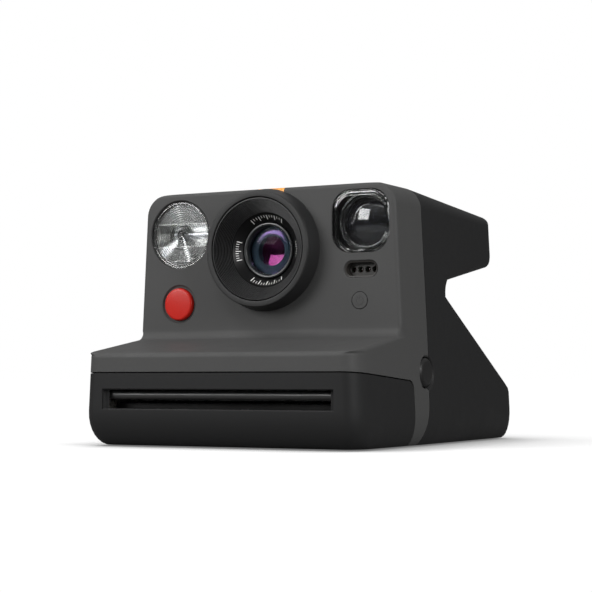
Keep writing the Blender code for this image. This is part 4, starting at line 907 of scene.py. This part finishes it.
EDGE_FOIL, _ = smooth("edge_foil", (0.82, 0.82, 0.80), 0.42, Metallic=0.6)
for end_name, end_low in (("trough_end_left", trough_low), ("trough_end_right", trough_high - END_THICK)):
    finish(prism(end_name, inside, end_low, end_low + END_THICK), FOIL, "camera_body", "foil")
mouth_low, mouth_high = FLASH_Z - TROUGH_OPEN, FLASH_Z + TROUGH_OPEN
for lip_name, lip_z in (("trough_lip_low", mouth_low - LIP_HIGH), ("trough_lip_high", mouth_high)):
    lip_box = rectangle(-0.0351, lip_z, -0.0345, lip_z + LIP_HIGH)
    finish(prism(lip_name, lip_box, trough_low, trough_high), EDGE_FOIL, "camera_body", "foil")
FRAME_GREY = moulded("frame_grey", (0.24, 0.24, 0.235), 0.4, gloss=0.5)
flash_frame = carried("flash_frame", FLASH, round_path(96), [(0.0127, 0.0350), (0.0127, 0.0344)])
frame_way = rectangle(-0.04, mouth_low, -0.03, mouth_high)
carve(flash_frame, prism("frame_way", frame_way, trough_low, trough_high))
finish(flash_frame, FRAME_GREY, "camera_body", "inner_plastic")
TUBE_GLASS = glass("tube_glass", (0.96, 0.97, 1.0), 1.47)
TUBE_Y = -0.0295
tube_section = [(0, -0.0262), (0.0011, -0.0262), (0.0012, -0.026), (0.0012, -0.0494), (0.0011, -0.0496),
                (0, -0.0496)]
holder_section = [(0.0013, -0.0407), (0.0026, -0.0407), (0.0026, -0.0418), (0.0013, -0.0418)]
cap_section = [(0.00125, -0.0478), (0.0016, -0.0478), (0.0016, -0.0462), (0.00125, -0.0462)]
for tube_name, section, tube_finish, tube_slot, stands in (
    ("xenon_tube", tube_section, TUBE_GLASS, "clear_plastic", ("flash_tube",)),
    ("tube_holder", holder_section, TUBE_BLACK, "inner_plastic", ()),
    ("tube_cap", cap_section, FOIL, "foil", ()),
):
    hollow = section[0][0] > 0
    tube_piece = carried(tube_name, (TUBE_Y, FLASH_Z), round_path(48), section, "right", ring=hollow)
    finish(tube_piece, tube_finish, "camera_body", tube_slot, *stands)

# ---- Viewfinder ----
# A thick clear cap, moulded as a rounded square with deep walls, covers a bulging negative lens in a black
# mask. The eyepiece is a smaller window of the same kind in the back.

FINDER = (FINDER_X, FINDER_Z)
CAP_CORNER = 0.0072
cap_profile = [
    (CAP_CORNER - 0.0022, 0.0376), (CAP_CORNER - 0.0016, 0.0376), (CAP_CORNER - 0.0009, 0.0373),
    (CAP_CORNER - 0.0007, 0.0366), (CAP_CORNER - 0.0007, 0.0352), (CAP_CORNER, 0.0352),
    (CAP_CORNER, 0.0381), (CAP_CORNER - 0.0002, 0.0385), (CAP_CORNER - 0.0007, 0.0388),
    (CAP_CORNER - 0.0011, 0.0388),
]
CAP_CLEAR = glass("clear_cap", (0.97, 0.98, 0.98), 1.49, 0.01)
cap_path = frame_path(FINDER_HALF, FINDER_HALF, CAP_CORNER, 16)
finder_cap = carried("finder_cap", FINDER, cap_path, cap_profile)
finish(finder_cap, CAP_CLEAR, "camera_body", "clear_plastic", "viewfinder_window")
BULB_RADIUS, BULB_ROUND = 0.0086, 0.018
bulb_r = np.linspace(0, BULB_RADIUS, 18)
bulb_h = 0.0346 - BULB_ROUND + np.sqrt(BULB_ROUND**2 - bulb_r**2)
bulb = half_section(bulb_r, bulb_h, (BULB_RADIUS, 0.0262), (0, 0.0262))
BULB_GLASS, bulb_shader = smooth("bulb_glass", (0.012, 0.013, 0.017), 0.03, IOR=1.6)
bulb_shader.inputs["Coat Weight"].default_value = 0.6
bulb_shader.inputs["Coat Roughness"].default_value = 0.02
finder_bulb = carried("finder_bulb", (FINDER_X + 0.0008, FINDER_Z), round_path(96), bulb)
finish(finder_bulb, BULB_GLASS, "camera_body", "coated_glass", "viewfinder_lens")
mask_profile = [(0.0087, 0.0327), (0.0089, 0.0331), (0.0095, 0.0332), (0.0097, 0.0340), (0.0099, 0.0342),
                (0.0104, 0.0342), (0.0106, 0.0339), (0.0106, 0.0300), (0.0087, 0.0300)]
finder_mask = carried("finder_mask", (FINDER_X + 0.0002, FINDER_Z), round_path(96), mask_profile, ring=True)
finish(finder_mask, RING_BLACK, "camera_body", "inner_plastic")
eye_path = frame_path(0.0072, 0.0072, 0.0038)
eye_profile = [(0.0038, 0.0522), (0.0038, 0.0566), (0.0034, 0.0571)]
eye_window = carried("eye_window", (EYEPIECE_X, REAR_CONTROLS_Z), eye_path, eye_profile, "rear")
finish(eye_window, BULB_GLASS, "camera_body", "coated_glass", "viewfinder_eyepiece")

# ---- Sensor window ----
# A black cup behind a pill-shaped opening. Four bores in its back plate let the light meter and the two
# distance sensors see out.

SENSOR = (SENSOR_X, SENSOR_Z)
cup_profile = [(0.0024, 0.0352), (0.0024, 0.0378), (0.0029, 0.0380), (0.0029, 0.0340)]
sensor_cup = carried("sensor_cup", SENSOR, frame_path(0.0065, 0.0029, 0.0029), cup_profile)
EYES = [(SENSOR_X + (i - 1.5) * 0.0029, SENSOR_Z) for i in range(4)]
eye_bore = [(0.0009, 0.0330), (0.0009, 0.0349), (0.0014, 0.0354)]
carve(sensor_cup, *[carried(f"sensor_bore_{i}", eye, round_path(40), eye_bore) for i, eye in enumerate(EYES)])
PLATE_BLACK = moulded("sensor_plate", (0.022, 0.020, 0.018), 0.45, gloss=0.35)
finish(sensor_cup, PLATE_BLACK, "camera_body", "inner_plastic", "sensor_bezel")
EYE_GLASS, _ = smooth("sensor_eye", (0.012, 0.004, 0.003), 0.12, IOR=1.5)
BEAD_RADIUS, BEAD_CURVE = 0.00085, 300
bead_r = np.linspace(0, BEAD_RADIUS, 6)
bead = half_section(bead_r, 0.0339 - BEAD_CURVE * bead_r**2, (BEAD_RADIUS, 0.0335), (0, 0.0335))
for i, eye in enumerate(EYES):
    finish(carried(f"sensor_eye_{i}", eye, round_path(24), bead), EYE_GLASS, "camera_body", "coated_glass")

# ---- Front buttons ----
# The shutter button is a glossy red cap with a rolled rim; the self-timer is a flush grey one with a
# raised ring and bar. Both slide in the panel on stems that end at their switches.

RED_PLASTIC = moulded("red_cap", (0.44, 0.013, 0.007), 0.3, grain=0.0004, depth=0.000004, gloss=0.25)


def cap(radius, face, rim, stem_h=0.0325, dome=0.0002, base_h=0.036):
    """A button's half section: a slight dome, a quarter round at the rim, a straight side and a stem."""
    turn = np.linspace(0, np.pi / 2, 8)
    roll = np.stack([radius - rim + rim * np.sin(turn), face - dome - rim * (1 - np.cos(turn))], axis=1)
    crown_r = np.linspace(0, radius - rim, 7)[:-1]
    crown = np.stack([crown_r, face - dome * (crown_r / (radius - rim)) ** 2], axis=1)
    tail = [(radius, base_h), (radius * 0.4, base_h), (radius * 0.4, stem_h), (0, stem_h)]
    return np.concatenate([crown, roll, tail])


red_profile = cap(SHUTTER_RADIUS, PANEL + 0.0012, 0.0009)
red_cap = carried("red_cap", (SHUTTER_X, SHUTTER_Z), round_path(96), red_profile)
finish(red_cap, RED_PLASTIC, "shutter_button", "red_plastic", "shutter_button")
timer_profile = cap(TIMER_RADIUS, PANEL + 0.0002, 0.0002, dome=0.0)
timer_cap = carried("timer_cap", (TIMER_X, TIMER_Z), round_path(64), timer_profile)
finish(timer_cap, GREY_PLASTIC, "self_timer_button", "grey_plastic", "self_timer_button")
turn = np.radians(np.linspace(120, 420, 41))
arc_r, stroke, raised = 0.00135, 0.00016, 0.0001
arc_ring = np.stack([
    np.stack([TIMER_X + (arc_r + side * stroke) * np.cos(turn), np.full(41, PANEL_Y - 0.0001 - lift),
              TIMER_Z + (arc_r + side * stroke) * np.sin(turn)], axis=1)
    for side, lift in ((-1, 0), (-1, raised + 0.0001), (1, raised + 0.0001), (1, 0))], axis=1)
timer_mark = stack("timer_mark", arc_ring)
bar = rectangle(TIMER_X - stroke, TIMER_Z + 0.0006, TIMER_X + stroke, TIMER_Z + 0.0019)
timer_bar = prism("timer_bar", bar, PANEL_Y - 0.0003, PANEL_Y - 0.0001, axis=1)
for mark in (timer_mark, timer_bar):
    finish(mark, GREY_PLASTIC, "self_timer_button", "grey_plastic")

# ---- Door release ----
# A round black button in a dished hole in the right side, half in each cover. It is a plain turned cap with
# a wide chamfer round its face, on a stem that reaches the latch.

RELEASE_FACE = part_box("door_release_button")[1][0]
release_profile = [(0, RELEASE_FACE), (0.0040, RELEASE_FACE), (0.0042, RELEASE_FACE - 0.00003),
                   (0.0050, RELEASE_FACE - 0.00055), (0.0053, RELEASE_FACE - 0.001), (0.0053, 0.0515),
                   (0.0022, 0.0515), (0.0022, 0.0498), (0, 0.0498)]
release_cap = carried("release_cap", (RELEASE_Y, RELEASE_Z), round_path(72), release_profile, "right")
SATIN_BLACK = moulded("release_satin", (0.012, 0.012, 0.012), 0.42, gloss=0.25)
finish(release_cap, SATIN_BLACK, "door_release_button", "black_plastic", "door_release_button")

# ---- Rear controls ----
# Two black buttons, moulded like the self-timer's, and the smoked window of the picture counter. They sit
# in a row in the rear face of the hump.

rear_profile = cap(0.004, REAR_FACE + 0.0004, 0.0005, 0.0522, 0.0001, base_h=0.0545)
for button, x in REAR_BUTTONS.items():
    rear_cap = carried(button + "_cap", (x, REAR_CONTROLS_Z), round_path(64), rear_profile, "rear")
    finish(rear_cap, BLACK_PLASTIC, button, "black_plastic", button)
counter_pane = carried("counter_pane", (0, REAR_CONTROLS_Z), frame_path(0.0049, 0.004, 0.0006),
                       [(0.0006, 0.0553), (0.0006, 0.0569), (0.0004, 0.0571)], "rear")
finish(counter_pane, BULB_GLASS, "camera_body", "coated_glass", "counter_window")

# ---- Film path ----
# Two ground steel rollers squeeze the developer over each picture, in a pressed bracket in the door. The
# shield in front of them is a black sheet wound on itself, which uncurls over the picture.


def metal(name, colour, roughness, stretch):
    """Metal with fine drawn lines: noise stretched along one axis drives the roughness and a faint bump."""
    made, shader = principled(name, colour, roughness, Metallic=1.0)
    tree = made.node_tree
    place = node(tree, "TexCoord").outputs["Object"]
    drawn = node(tree, "Mapping", [("Vector", place)], Scale=stretch)
    lines = node(tree, "TexNoise", [("Vector", drawn)], Scale=900.0, Detail=3.0)
    gloss = node(tree, "MapRange", [("Value", lines)], To_Min=roughness - 0.08, To_Max=roughness + 0.12)
    bump = node(tree, "Bump", [("Height", lines)], Strength=0.2, Distance=0.000003)
    join(shader, [("Roughness", gloss), ("Normal", bump)])
    return made


GROUND_STEEL = metal("ground_steel", (0.56, 0.56, 0.57), 0.24, (0.1, 6, 6))
PRESSED_STEEL = metal("pressed_steel", (0.5, 0.5, 0.49), 0.34, (1, 8, 1))
ROLLER_Y, ROLLER_HALF, ROLLER_RADIUS = -0.06, 0.0448, 0.0034
JOURNAL, JOURNAL_END, EASE = 0.0015, 0.0468, 0.0003
ROLLERS = {"upper_roller": (0.01935, -JOURNAL_END), "lower_roller": (0.01225, -0.0526)}
for roller, (roller_z, left_end_x) in ROLLERS.items():
    roller_profile = [
        (0, JOURNAL_END), (JOURNAL - EASE, JOURNAL_END), (JOURNAL, JOURNAL_END - EASE),
        (JOURNAL, ROLLER_HALF), (ROLLER_RADIUS - EASE, ROLLER_HALF), (ROLLER_RADIUS, ROLLER_HALF - EASE),
        (ROLLER_RADIUS, -ROLLER_HALF + EASE), (ROLLER_RADIUS - EASE, -ROLLER_HALF), (JOURNAL, -ROLLER_HALF),
        (JOURNAL, left_end_x + EASE), (JOURNAL - EASE, left_end_x), (0, left_end_x),
    ]
    bar_piece = carried(roller + "_bar", (ROLLER_Y, roller_z), round_path(64), roller_profile, "right")
    finish(bar_piece, GROUND_STEEL, roller, "steel", roller)
SHIELD_BLACK = moulded("shield_sheet", (0.03, 0.03, 0.03), 0.36, grain=0.0003, depth=0.000005, gloss=0.5)
SHIELD_TURNS, SHIELD_THICK, SHIELD_HALF = 2.6, 0.00012, 0.0461
wind = np.linspace(0, 2 * np.pi * SHIELD_TURNS, 160)
wind_r = 0.0010 + 0.00080 * wind / wind[-1]
sheet_front, sheet_back = [
    np.stack([-0.0702 - r * np.cos(wind), 0.0182 + r * np.sin(wind)], axis=1)
    for r in (wind_r, wind_r - SHIELD_THICK)
]
shield_outline = np.concatenate([sheet_front, sheet_back[::-1]])
shield_roll = prism("shield_roll", shield_outline, -SHIELD_HALF, SHIELD_HALF)
finish(shield_roll, SHIELD_BLACK, "film_door", "inner_plastic", "film_shield")

# ---- Pieces inside ----
# The carried-over pieces keep their solids and take real finishes: pressed steel, acetal, varnished
# laminate, sleeved cells and black mouldings.

GEAR_ACETAL = moulded("gear_acetal", (0.70, 0.69, 0.64), 0.4, grain=0.0005, depth=0.000006, gloss=0.45)
SLEEVE_BLUE = moulded("sleeve_blue", (0.05, 0.09, 0.22), 0.35, grain=0.002, depth=0.00002, gloss=0.5)
MIRROR_SILVER, _ = smooth("mirror_silver", (0.92, 0.92, 0.93), 0.02, Metallic=1.0)
LAMINATE, laminate_shader = smooth("board_varnish", (0.01, 0.13, 0.05), 0.3)
laminate_place = node(LAMINATE.node_tree, "TexCoord").outputs["Object"]
tracks = node(LAMINATE.node_tree, "TexBrick", [("Vector", laminate_place)], Scale=420.0,
              Color1=(0.008, 0.11, 0.045, 1), Color2=(0.012, 0.15, 0.06, 1), Mortar=(0.03, 0.2, 0.09, 1))
join(laminate_shader, [("Base Color", tracks)])
PLATED_STEEL = metal("plated_steel", (0.62, 0.61, 0.58), 0.3, (3, 3, 3))
CARRIED_OVER = {
    PRESSED_STEEL: ("hinge_pin_left", "hinge_pin_right", "door_latch", "gear_plate", "roller_bracket",
                    "pick_arm", "shutter_blade_left", "shutter_blade_right", "usb_port"),
    PLATED_STEEL: ("drive_motor", "motor_pinion", "cover_screw_1", "cover_screw_2", "cover_screw_3",
                   "cover_screw_4"),
    GEAR_ACETAL: ("drive_gear", "idler_gear", "roller_gear", "focus_disc"),
    LAMINATE: ("main_board", "rear_board", "shutter_board", "timer_board", "sensor_board"),
    SLEEVE_BLUE: ("battery", "flash_capacitor"),
    MIRROR_SILVER: ("mirror",),
    INNER_PLASTIC: ("film_chamber", "dark_chamber", "viewfinder_tube", "shutter_housing"),
    FRONT_COAT: ("far_lens", "near_lens"),
}
for surface, names in CARRIED_OVER.items():
    for name in names:
        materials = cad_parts[name].data.materials
        materials.clear()
        materials.append(surface)
